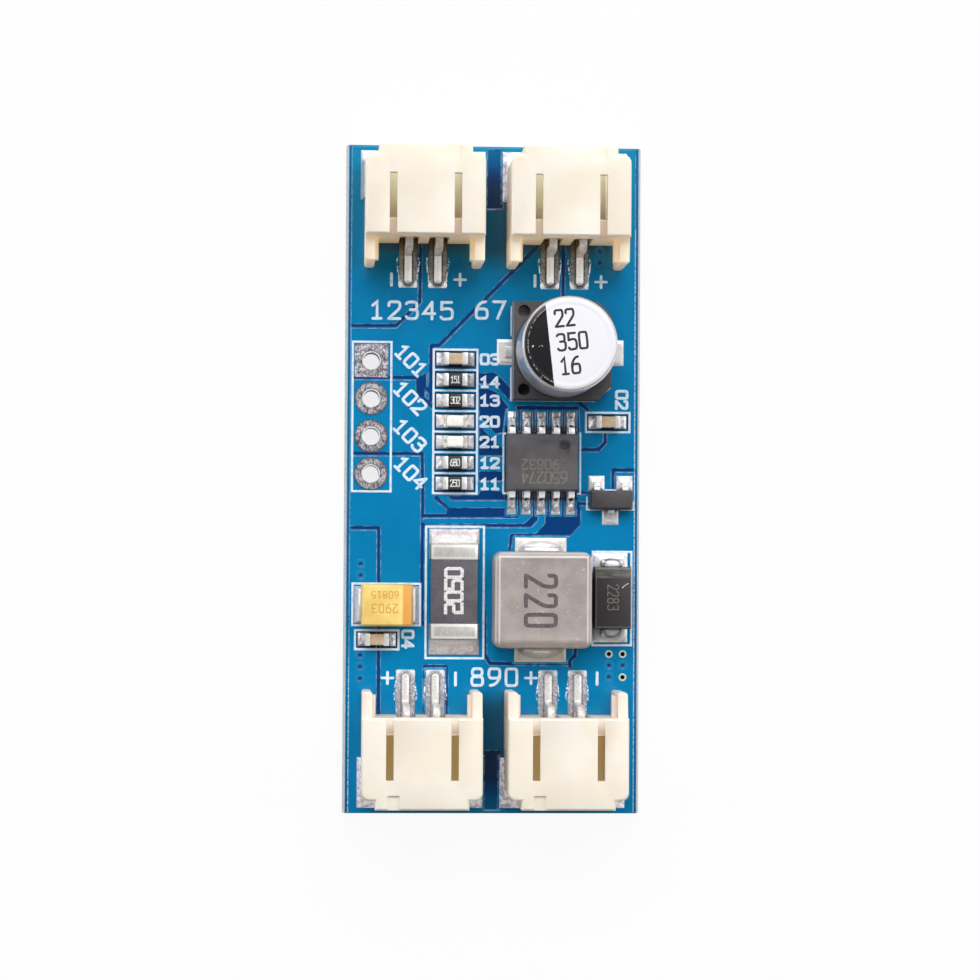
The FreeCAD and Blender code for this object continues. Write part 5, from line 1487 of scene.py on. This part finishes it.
nylon = Finish("socket_nylon", Subsurface_Weight=0.18, Subsurface_Scale=0.0006,
               Subsurface_Radius=(1.0, 0.55, 0.30))
flow = nylon.noise(3.2, 3.0, 0.55).step(0.36, 0.66)
skin = nylon.noise(0.16, 3.0)
x, y, z = nylon.place()
side, end = abs(x), abs(y)
to_slot = abs(side - SLOT_MIDDLES[0]).smallest(abs(side - SLOT_MIDDLES[1]))
in_slot = to_slot.fall(0.58, 0.60) * end.step(GROOVE_FRONT - 0.02, GROOVE_FRONT + 0.02)
in_slot = in_slot * end.fall(SLOT_END, SLOT_END + 0.1) * z.fall(ROOF - 0.04, ROOF)
in_groove = to_slot.fall(0.24, 0.25) * end.fall(GROOVE_FRONT - 0.05, GROOVE_FRONT + 0.02)
in_groove = in_groove * z.step(ROOF - 0.20, ROOF - 0.15) * z.fall(ROOF, ROOF + 0.08)
supply = nylon.at_supply()
battery = 1.0 - supply
shade = 1.0 - battery * end.fall(SOCKET_REAR, GROOVE_FRONT)
behind = end.fall(SOCKET_REAR + 0.02, SOCKET_REAR + 0.08) * z.fall(ROOF - 0.3, ROOF - 0.1)
lane, out = beside_contact(nylon)
pocket = behind * supply * lane.fall(0.35, 0.65) * z.fall(5.4, 5.8)
# Grooves, slots and pockets get shade tones, and the battery sockets' rear walls and legs a warm shade tone:
# painted shade.
nylon.paint(
    NYLON_WARM,
    (flow, NYLON_PALE),
    (in_groove * shade, GROOVE_SHADE),
    (behind * battery, WARM_SHADE_IVORY),
    (in_slot, nylon.blend(y.step(17.2, 19.0), SLOT_BROWN_SHADE, SLOT_OLIVE_SHADE)),
    (pocket, POCKET_SHADE),
)
# Behind the supply sockets and in the battery slots the nylon glows: painted light, for light through the
# nylon.
rear_light = behind * supply * (1.0 - pocket * 0.8)
nylon.glow(nylon.layers(BLACK, (rear_light, SHADE_GLOW), (in_slot * battery, SLOT_GLOW)))
nylon.roughen(skin, 0.38, 0.52)
nylon.relief(skin * 0.006 + flow * 0.004)


print("nylon has", len(nylon.tree.nodes), "nodes")

# %% Dress the sockets
FOOT_TOP = 3.0


def foot_faces(points, normals):
    """Finish 1 for the flat top of a contact's foot, 0 elsewhere."""
    return np.where((normals[:, 2] > 0.9) & (points[:, 2] < FOOT_TOP), 1, 0)


for socket, centre, turn in SOCKETS:
    dressed(socket + "_housing", [nylon], 0.05, quads=True)
    for contact in ("_contact_a", "_contact_b"):
        metals = [tin["contact_tin"], tin["foot_tin"]]
        dressed(socket + contact, metals, 0.07, pick=foot_faces)
    dressed(socket + "_tabs", [tin["contact_tin"]], 0.03)
print("four sockets dressed")

# %% [markdown]
# ## Electrolytic capacitor
#
# The can is drawn from aluminium, pressed in above its base, and rolled over at the top, where a
# white lacquer carries a black segment for the negative side and the values. It is a turned form:
# one profile, radius and height along a line of points, carried round the axis. Arcs are worked out
# in the profile, so the neck and the top edge are truly round.

# %% Turn the can
CAN_AXIS = CENTRE["electrolytic"]
CAN_FLOOR = 2.40
CAN_TOP = 9.35
CAN_RADIUS = 3.15
CAN_EDGE = 0.38
NECK_HEIGHT = 3.95
NECK_HALF = 0.46
NECK_DEPTH = 0.28
SEGMENT_CHORD = ((2.93, 11.05), (3.52, 5.74))
CAN_SIDES = 144


def can_profile():
    """Radius and height from the floor's middle up the side and in over the top: the neck is a
    cosine dip, the top edge a quarter circle, and a shallow ring is pressed into the top."""
    dip = np.linspace(-1, 1, 17)
    neck_r = CAN_RADIUS - NECK_DEPTH * 0.5 * (1 + np.cos(np.pi * dip))
    neck_z = NECK_HEIGHT + NECK_HALF * dip
    turn = np.radians(np.linspace(0, 90, 9))
    edge_r = CAN_RADIUS - CAN_EDGE * (1 - np.cos(turn))
    edge_z = CAN_TOP - CAN_EDGE * (1 - np.sin(turn))
    ring_r = np.array([2.70, 2.66, 2.60, 2.50, 2.44, 2.40, 1.6, 0.8, 0.0])
    ring_z = CAN_TOP - np.array([0.0, 0.004, 0.010, 0.010, 0.006, 0.003, 0.002, 0.001, 0.0])
    radius = np.concatenate([[0.0, 1.6, CAN_RADIUS - 0.05, CAN_RADIUS], neck_r, edge_r, ring_r])
    height = np.concatenate([[CAN_FLOOR] * 3, [CAN_FLOOR + 0.05], neck_z, edge_z, ring_z])
    return radius, height


print("profile has", len(can_profile()[0]), "points")

# %% Lacquer its top
CAN_LACQUER = (0.90, 0.89, 0.94)
CAN_SILVER = (0.86, 0.85, 0.87)
CAN_DRAWN = (0.68, 0.67, 0.69)
CAN_BLACK = (0.010, 0.009, 0.011)
CAN_WORN_AND_GLINT = (0.70, 0.69, 0.70)
TOP_RADIUS = 3.0
RING_PRESSED = 2.74

can_finish = Finish("can_aluminium")
x, y, z = can_finish.place()
(ax, ay), (bx, by) = SEGMENT_CHORD
chord = math.hypot(bx - ax, by - ay)
left_of = (x - ax) * ((by - ay) / chord) - (y - ay) * ((bx - ax) / chord)
radius = oval(x - CAN_AXIS[0], y - CAN_AXIS[1])
on_top = z.step(CAN_TOP - 0.16, CAN_TOP - 0.12)
ragged = can_finish.noise(0.2, 2.0) * 0.05
black = on_top * (left_of + ragged).step(0.0, 0.03) * radius.fall(TOP_RADIUS - 0.03, TOP_RADIUS + 0.01)
lacquer = on_top * radius.fall(TOP_RADIUS - 0.05, TOP_RADIUS + 0.02)
draw_lines = can_finish.noise(0.05, 2.0, 0.6, (1.0, 1.0, 0.02))
specks = can_finish.noise(0.34, 1.0).step(0.71, 0.74)
# A broken white arc inside the pressed ring is a painted highlight. The white specks are worn print.
arc_glint = abs(radius - RING_PRESSED).fall(0.01, 0.045) * can_finish.noise(0.18, 2.0).step(0.44, 0.56)
silver = can_finish.blend(draw_lines.step(0.3, 0.7), CAN_DRAWN, CAN_SILVER)
segment = can_finish.blend(specks.largest(arc_glint * 0.8) * 0.9, CAN_BLACK, CAN_WORN_AND_GLINT)
painted = lacquer.largest(black)
can_finish.paint(silver, (painted, can_finish.blend(black, CAN_LACQUER, segment)))
can_finish.set("Metallic", 0.85 - painted * 0.85)
can_finish.set("Roughness", lacquer.step(0.0, 1.0, 0.30, 0.42) - black * 0.14)
drawn = draw_lines * 0.002 * (1.0 - lacquer)
can_finish.relief(drawn + specks * black * 0.02 + can_finish.noise(0.5) * 0.004)
can = Shape().add(*turned_form(*can_profile(), CAN_AXIS, CAN_SIDES))
can = can.build("electrolytic_can_turned", "can_aluminium", [can_finish], replaces=("electrolytic_can",))
print("can:", len(can.data.polygons), "faces")

# %% [markdown]
# ## Black mouldings
#
# The capacitor's base and the three black packages are epoxy or nylon filled with glass and soot:
# never quite black, with a fine grain that turns light into a soft grey sheen. They differ in tone
# and in grain, so one function makes each from its own few numbers.

# %% Mix the black mouldings
BASE_PIT = (1.96, 11.22)
BASE_DARK = (0.062, 0.057, 0.062)


def moulding(name, dark, light, rough, grain=0.07, depth=0.012, patch=1.2):
    """Filled resin: tone by patches, fine grains in tone, bump and roughness."""
    finish = Finish(name)
    patches = finish.noise(patch, 3.0).step(0.35, 0.65)
    grains = finish.noise(grain, 3.0, 0.6)
    share = patches * 0.45 + grains.step(0.35, 0.68) * 0.55
    finish.tone = finish.blend(share, dark, light)
    finish.paint(finish.tone)
    finish.roughen(grains, rough - 0.08, rough + 0.08)
    finish.relief(grains * depth)
    return finish


base_black = moulding("base_black", BASE_DARK, BASE_DARK, 0.55)
driver_black = moulding("driver_black", (0.078, 0.073, 0.078), (0.134, 0.127, 0.134), 0.55, grain=0.06)
switch_black = moulding("switch_black", (0.045, 0.040, 0.043), (0.082, 0.074, 0.078), 0.5)
x, y, z = base_black.place()
# The pit inside is painted lighter: painted light in a recess. The outer side is painted bluish grey:
# painted sheen.
pit_light = ((x - BASE_PIT[0]) ** 2.0 + (y - BASE_PIT[1]) ** 2.0).fall(0.13, 0.16)
side_sheen = x.fall(1.22, 1.30)
base_black.paint(base_black.tone, (pit_light, (0.32, 0.31, 0.33)), (side_sheen, (0.30, 0.32, 0.36)))
dressed("electrolytic_base", [base_black], 0.10, segments=3)
dressed("electrolytic_leads", [tin["lead_tin"]], 0.03)
print("three black mouldings")

# %% [markdown]
# ## Leaded packages
#
# Controller, transistor and rectifier are black mouldings on stamped, tinned leads. Their solids
# have the draft, the dimple and the bent leads. Dressing rounds the edges. The rectifier's marked
# end is told from the rest by its place along the body.

# %% Dress the controller
DIMPLE = (4.75, 2.29)
LEAD_PITCH = 1.0
LEAD_BEND = 2.47

x, y, z = driver_black.place()
# The dimple is darker: painted shade in a recess.
dimple_shade = ((x - DIMPLE[0]) ** 2.0 + (y - DIMPLE[1]) ** 2.0).fall(0.10, 0.16)
driver_black.paint(driver_black.tone, (dimple_shade * 0.7, (0.030, 0.028, 0.030)))
driver_tin = Finish("driver_tin", Metallic=0.3)
x, y, z = driver_tin.place()
out = abs(y - CENTRE["charge_controller"][1])
lane = driver_tin.wrap(x - CENTRE["charge_controller"][0], LEAD_PITCH)
bend = oval(lane, out - LEAD_BEND, 0.17, 0.11)
grains = driver_tin.noise(0.22, 3.0, 0.6)
# Near the body the leads are painted white and glow: painted highlight. The dark oval at each bend is
# painted shade.
driver_tin.paint(
    (0.42, 0.41, 0.42),
    (grains.step(0.35, 0.60), (0.90, 0.89, 0.90)),
    (out.fall(2.62, 2.80), (0.94, 0.93, 0.93)),
    (bend.fall(0.75, 1.15), (0.045, 0.042, 0.045)),
    (out.fall(2.34, 2.40), (0.99, 0.98, 0.98)),
)
driver_tin.glow(driver_tin.blend(out.fall(2.32, 2.40), BLACK, (0.26, 0.25, 0.25)))
driver_tin.roughen(grains, 0.24, 0.38)
driver_tin.relief(grains * 0.004)
dressed("charge_controller_body", [driver_black], 0.06)
dressed("charge_controller_leads", [driver_tin], 0.03)
print("controller dressed")

# %% Dress the transistor and the rectifier
BAND_START = -6.72
RECTIFIER_HALF = (1.3, 2.08)

dressed("switch_transistor_body", [switch_black], 0.06)
dressed("switch_transistor_leads", [tin["lead_tin"]], 0.03)
rectifier_black = Finish("rectifier_black")
x, y, z = rectifier_black.place()
grains = rectifier_black.noise(0.06, 3.0)
brushed = rectifier_black.noise(0.10, 2.0, 0.6, (0.12, 1.0, 1.0))
band_tone = rectifier_black.blend(brushed.step(0.35, 0.65), (0.052, 0.050, 0.045), (0.14, 0.135, 0.12))
in_band = y.step(BAND_START, BAND_START + 0.12)
inset_x = RECTIFIER_HALF[0] - abs(x - CENTRE["rectifier"][0])
inset_y = RECTIFIER_HALF[1] - abs(y - CENTRE["rectifier"][1])
# A broken light line just inside the top's edge: painted highlight.
edge_highlight = abs(inset_x.smallest(inset_y) - 0.13).fall(0.015, 0.04) * z.step(3.6, 3.7)
rectifier_black.paint(
    (0.018, 0.015, 0.018),
    (grains, (0.044, 0.038, 0.043)),
    (in_band, band_tone),
    (edge_highlight * grains.step(0.30, 0.50) * 0.45, (0.38, 0.36, 0.36)),
)
rectifier_black.roughen(grains, 0.34, 0.46)
rectifier_black.relief(grains * 0.006 + in_band * brushed * 0.01)
dressed("rectifier_body", [rectifier_black], 0.05)
dressed("rectifier_leads", [lump_solder], 0.12)
print("transistor and rectifier dressed")

# %% [markdown]
# ## Tantalum capacitor
#
# The same build in a yellow resin, with an orange band printed at the positive end. The band is a
# strip of paint, so it is told by its place, with a slightly unsteady edge.

# %% Dress the tantalum capacitor
BAND_FROM, BAND_TO = -6.06, -5.51

yellow = Finish("yellow_moulding")
x, y, z = yellow.place()
unsteady = x + yellow.noise(0.35, 2.0) * 0.03
grains = yellow.noise(0.07, 3.0)
in_band = unsteady.step(BAND_FROM, BAND_FROM + 0.04) * unsteady.fall(BAND_TO, BAND_TO + 0.04)
yellow.paint(
    (0.96, 0.65, 0.175),
    (yellow.noise(1.1, 3.0).step(0.35, 0.65), (1.0, 0.76, 0.245)),
    (in_band * z.step(3.3, 3.4), (0.84, 0.39, 0.075)),
)
yellow.roughen(grains, 0.36, 0.50)
yellow.relief(grains * 0.006)
dressed("tantalum_body", [yellow], 0.06)
dressed("tantalum_leads", [tin["lead_tin"]], 0.03)
print("tantalum capacitor dressed")

# %% [markdown]
# ## Power inductor
#
# Iron powder is pressed round the coil in a die, which leaves round corners, a drafted side and a
# rim round the top face. The solid has the block and its bevel. The pressed form is a surface: a
# rounded rectangle at each height, its inset from the outline read off a profile, so it is made
# anew and stands for the body.

# %% Press the inductor
INDUCTOR_HALF = (3.3, 3.25)
INDUCTOR_CORNER = 0.62
INDUCTOR_BOTTOM = 1.83
INDUCTOR_PROFILE = [
    (0.30, 0.0), (0.06, 0.0), (0.01, 0.04), (0.0, 0.12), (0.02, 1.2), (0.05, 2.34), (0.08, 2.50),
    (0.15, 2.60), (0.24, 2.655), (0.31, 2.69), (0.35, 2.735), (0.38, 2.79), (0.42, 2.815), (0.47, 2.82),
    (0.53, 2.812), (0.60, 2.80), (1.2, 2.80), (2.2, 2.80),
]


def rounded_rectangle(half, corner, inset, sides=10):
    """Outline of a rectangle with round corners, one row of points for each inset. A corner's
    radius shrinks by the inset, and its centre stays."""
    inset = np.asarray(inset, float)[:, None]
    angle = np.radians(np.linspace(0, 90, sides)[None, :] + 90 * np.arange(4)[:, None]).ravel()[None, :]
    sign_x = np.repeat([1, -1, -1, 1], sides)[None, :]
    sign_y = np.repeat([1, 1, -1, -1], sides)[None, :]
    radius = np.maximum(corner - inset, 0.0)
    centre_x = np.maximum(half[0] - np.maximum(corner, inset), 0.0)
    centre_y = np.maximum(half[1] - np.maximum(corner, inset), 0.0)
    return sign_x * centre_x + radius * np.cos(angle), sign_y * centre_y + radius * np.sin(angle)


def pressed_block(centre, half, corner, profile, bottom):
    """Stack of rounded rectangles by a profile of (inset, height), closed at both ends by quads
    from the middle."""
    inset, height = np.array(profile).T
    inset = np.concatenate([[max(half)], inset, [max(half)]])
    height = np.concatenate([[height[0]], height, [height[-1]]])
    x, y = rounded_rectangle(half, corner, inset)
    z = np.broadcast_to(bottom + height[:, None], x.shape)
    points = np.stack([centre[0] + x, centre[1] + y, z], axis=-1)
    return points, grid_faces(len(inset), x.shape[1], round_columns=True)[:, ::-1]


block = Shape().add(*pressed_block(CENTRE["inductor"], INDUCTOR_HALF, INDUCTOR_CORNER, INDUCTOR_PROFILE,
                                   INDUCTOR_BOTTOM))
print("block:", block.count, "points")

# %% Finish the powder
powder = Finish("moulded_iron_powder", Metallic=0.15)
x, y, z = powder.place()
across, along = x - CENTRE["inductor"][0], y - CENTRE["inductor"][1]
grains = powder.noise(0.09, 3.0, 0.65)
stain = powder.noise(1.6, 3.0, 0.55).step(0.38, 0.64)
fleck = powder.noise(0.30, 2.0).step(0.66, 0.72)
from_edge = (abs(across) - INDUCTOR_HALF[0]).largest(abs(along) - INDUCTOR_HALF[1])
# Light lines along the top rim, left out on the lower side, are painted highlights. The dark brown band
# along the lower edge is painted shade.
ridge_highlight = abs(from_edge + 0.36).fall(0.02, 0.07).largest(abs(from_edge + 0.12).fall(0.02, 0.06) * 0.6)
ridge_highlight = ridge_highlight * along.step(-2.96, -2.76) * z.step(INDUCTOR_BOTTOM + 2.2, INDUCTOR_BOTTOM + 2.4)
powder.paint(
    (0.385, 0.335, 0.315),
    (stain, (0.475, 0.415, 0.395)),
    (grains.step(0.36, 0.66) * 0.35, (0.56, 0.50, 0.48)),
    (abs(along + 2.76).fall(0.08, 0.16) * abs(across).fall(2.7, 2.9) * 0.5, (0.26, 0.205, 0.16)),
    (ridge_highlight * 0.85, (0.92, 0.88, 0.85)),
    (fleck * 0.5, (0.72, 0.66, 0.62)),
)
powder.roughen(grains, 0.28, 0.42)
powder.relief(grains * 0.012 + stain * 0.006)
inductor = block.build("inductor_body_pressed", "moulded_iron_powder", [powder], replaces=("inductor_body",))
dressed("inductor_leads", [coil_solder], 0.05)
print("inductor:", len(inductor.data.polygons), "faces")

# %% [markdown]
# ## Sense resistor and chips
#
# A chip is a small ceramic block with metal fired on its ends. The resistors carry a black coat
# that stops at the caps, the ceramic capacitors are bare and tan. The bodies and caps are dressed,
# the capacitors' caps with a larger radius, because they are dipped and come out pillowed.

# %% Dress the chips
shunt_coat = moulding("shunt_coat", (0.092, 0.086, 0.102), (0.158, 0.147, 0.170), 0.5, grain=0.08, patch=0.9)
chip_coat = moulding("chip_coat", (0.020, 0.018, 0.020), (0.055, 0.050, 0.052), 0.4, grain=0.05, patch=0.5)
chip_side = moulding("chip_side", (0.10, 0.09, 0.09), (0.22, 0.20, 0.19), 0.6, grain=0.06, patch=0.3)
tan = moulding("tan_ceramic", (0.54, 0.39, 0.24), (0.76, 0.59, 0.42), 0.45, grain=0.07, patch=0.35)
SHUNT_CAP = (1.02, 1.575)


def coated(points, normals):
    """Finish 0 for the coated top, 1 for the ceramic's sides."""
    return np.where(normals[:, 2] > 0.5, 0, 1)


shunt_cap = Finish("shunt_cap", Metallic=0.35)
across, along, out = past_end(shunt_cap, "sense_resistor", SHUNT_END)
inset = (-out).smallest(SHUNT_CAP[0] + out).smallest(SHUNT_CAP[1] - abs(across))
grains = shunt_cap.noise(0.09, 3.0, 0.6)
smear = shunt_cap.noise(0.45, 3.0, 0.6, (1.3, 0.7, 1.0)).step(0.34, 0.66)
# Darker at the cap's outline: painted shade.
shunt_cap.paint(
    (0.97, 0.96, 0.94),
    (inset.step(0.12, 0.26), shunt_cap.blend(smear, (0.64, 0.61, 0.57), (0.75, 0.73, 0.69))),
    (inset.fall(0.01, 0.07) * 0.4, (0.20, 0.18, 0.17)),
    (grains.fall(0.30, 0.46) * 0.25, (0.20, 0.18, 0.17)),
)
shunt_cap.roughen(grains, 0.30, 0.44)
shunt_cap.relief(grains * 0.005)
dressed("sense_resistor_body", [shunt_coat], 0.03)
dressed("sense_resistor_terminals", [shunt_cap], 0.05)
for node in ("resistor_r1", "resistor_r2", "resistor_r3", "resistor_r4"):
    dressed(node + "_body", [chip_coat, chip_side], 0.03, pick=coated)
    dressed(node + "_terminals", [tin["cap_tin"]], 0.04)
for node in ("capacitor_c2", "capacitor_c3", "capacitor_c4"):
    dressed(node + "_body", [tan], 0.05)
    dressed(node + "_terminals", [tin["cap_tin"]], 0.08, segments=3)
print("eight chips dressed")

# %% [markdown]
# ## Lamps
#
# Each lamp is a white chip base with plated, hollowed ends under a block of milky resin. A yellow
# dot of phosphor and a green trace of solder mask show through. The resin is thin, so a pale body
# with some light let in under the skin looks right from every side, and stays cheap to render.

# %% Cast the lamps
resin = Finish("lamp_resin", Roughness=0.22, Subsurface_Weight=0.35, Subsurface_Scale=0.0004,
               Subsurface_Radius=(1.0, 1.0, 0.8), Coat_Weight=0.3, Coat_Roughness=0.08)
milk = resin.noise(0.35, 3.0).step(0.40, 0.62)
tint = resin.noise(0.22, 2.0).step(0.60, 0.70)
resin.paint((0.95, 0.95, 0.86), (milk, (1.0, 1.0, 0.97)), (tint * 0.5, (0.80, 0.86, 0.45)))
# The resin glows a little: painted light.
resin.glow(resin.blend(milk, (0.06, 0.062, 0.045), (0.11, 0.11, 0.10)))
resin.relief(milk * 0.01)
lamp_white = Finish("lamp_base", Roughness=0.5)
patch = lamp_white.noise(0.12, 3.0)
lamp_white.paint((0.34, 0.36, 0.22), (patch.step(0.40, 0.60), (0.85, 0.85, 0.76)))
lamp_white.relief(patch * 0.02)
for node in ("charged_lamp", "charging_lamp"):
    dressed(node + "_base", [lamp_white], 0.02)
    dressed(node + "_terminals", [tin["lamp_ends"]], 0.02)
    dressed(node + "_lens", [resin], 0.09, segments=3)
print("two lamps cast")

# %% [markdown]
# ## Marks on the parts
#
# Values are stamped, printed or burnt into the parts. Each keeps the place, size, slant and ink of
# its kind, as plain figures. They are the same pen strokes as the board's, laid on each top face.

# %% Mix the inks
def pigment(name, light, dark, rough=0.55):
    """Ink that varies between two tones, with a faint texture."""
    finish = Finish(name, Roughness=rough)
    finish.paint(dark, (finish.noise(0.14, 3.0).step(0.38, 0.60), light))
    finish.relief(finish.noise(0.06) * 0.004)
    return finish


black_ink = pigment("black_ink", (0.030, 0.028, 0.032), (0.014, 0.013, 0.016))
white_ink = pigment("white_ink", (0.93, 0.92, 0.90), (0.72, 0.71, 0.70))
burnt_grey = pigment("burnt_grey", (0.215, 0.200, 0.170), (0.165, 0.155, 0.132))
amber_ink = pigment("amber_ink", (0.80, 0.40, 0.095), (0.68, 0.33, 0.08))
powder_ink = pigment("powder_ink", (0.150, 0.120, 0.125), (0.085, 0.068, 0.075))
print("five inks mixed")

# %% Mark the parts
MARK_LIFT = 0.006
MARKS = [
    ("can_print", "can_aluminium", black_ink, CAN_TOP, [
        ("22", (3.62, 9.66), (0.994, 0.11), 1.06, 0.078, 0.72, 0.20),
        ("350", (3.78, 8.10), (0.994, 0.11), 1.06, 0.078, 0.72, 0.20),
        ("16", (4.02, 6.56), (0.994, 0.11), 1.06, 0.078, 0.72, 0.20),
    ]),
    ("controller_print", "black_moulding", burnt_grey, 3.15, [
        ("90832", (4.33, 1.26), (-1, 0), 0.64, 0.050, 0.86, 0.24),
        ("650274", (4.89, 0.44), (-1, 0), 0.74, 0.055, 0.80, 0.18),
    ]),
    ("rectifier_print", "black_moulding", burnt_grey, 3.85, [
        ("2283", (7.62, -7.10), (0, -1), 0.72, 0.028, 0.62, 0.22),
    ]),
    ("tantalum_print", "yellow_moulding", amber_ink, 3.55, [
        ("60815", (-6.36, -7.62), (-1, 0), 0.44, 0.030, 0.80, 0.34),
        ("2903", (-6.40, -8.46), (-1, 0), 0.56, 0.036, 0.80, 0.30),
    ]),
    ("inductor_print", "moulded_iron_powder", powder_ink, 4.63, [
        ("220", (2.08, -6.50), (0, -1), 2.0, 0.135, 0.56, 0.28),
    ]),
    ("sense_resistor_print", "resistor_ceramic", white_ink, 2.25, [
        ("2050", (-2.05, -9.02), (0, 1), 1.10, 0.115, 0.80, 0.19),
    ]),
]
for name, slot, finish, height, rows in MARKS:
    marks = Shape()
    for text, start, along, tall, half, narrow, gap in rows:
        blocky = finish is white_ink
        figures(marks, text, start, along, tall, half, height, MARK_LIFT, narrow, gap, blocky)
    marks.build(name, slot, [finish], smooth=False)
scratch = Shape().add(*stroke([(8.58, -7.30), (8.74, -7.15), (8.99, -7.0)], 0.022, 3.85, MARK_LIFT))
scratch.build("rectifier_scratch", "black_moulding", [white_ink], smooth=False)
codes = Shape()
for text, row in (("151", 1), ("302", 2), ("680", 5), ("250", 6)):
    start = (CHIP_X - 0.31, CHIP_ROWS_Y[row] - 0.22)
    figures(codes, text, start, (1, 0), 0.44, 0.033, 2.11, MARK_LIFT, 0.60, 0.09)
codes.build("resistor_codes", "resistor_ceramic", [white_ink], smooth=False)
print(len(MARKS) + 1, "sets of marks")
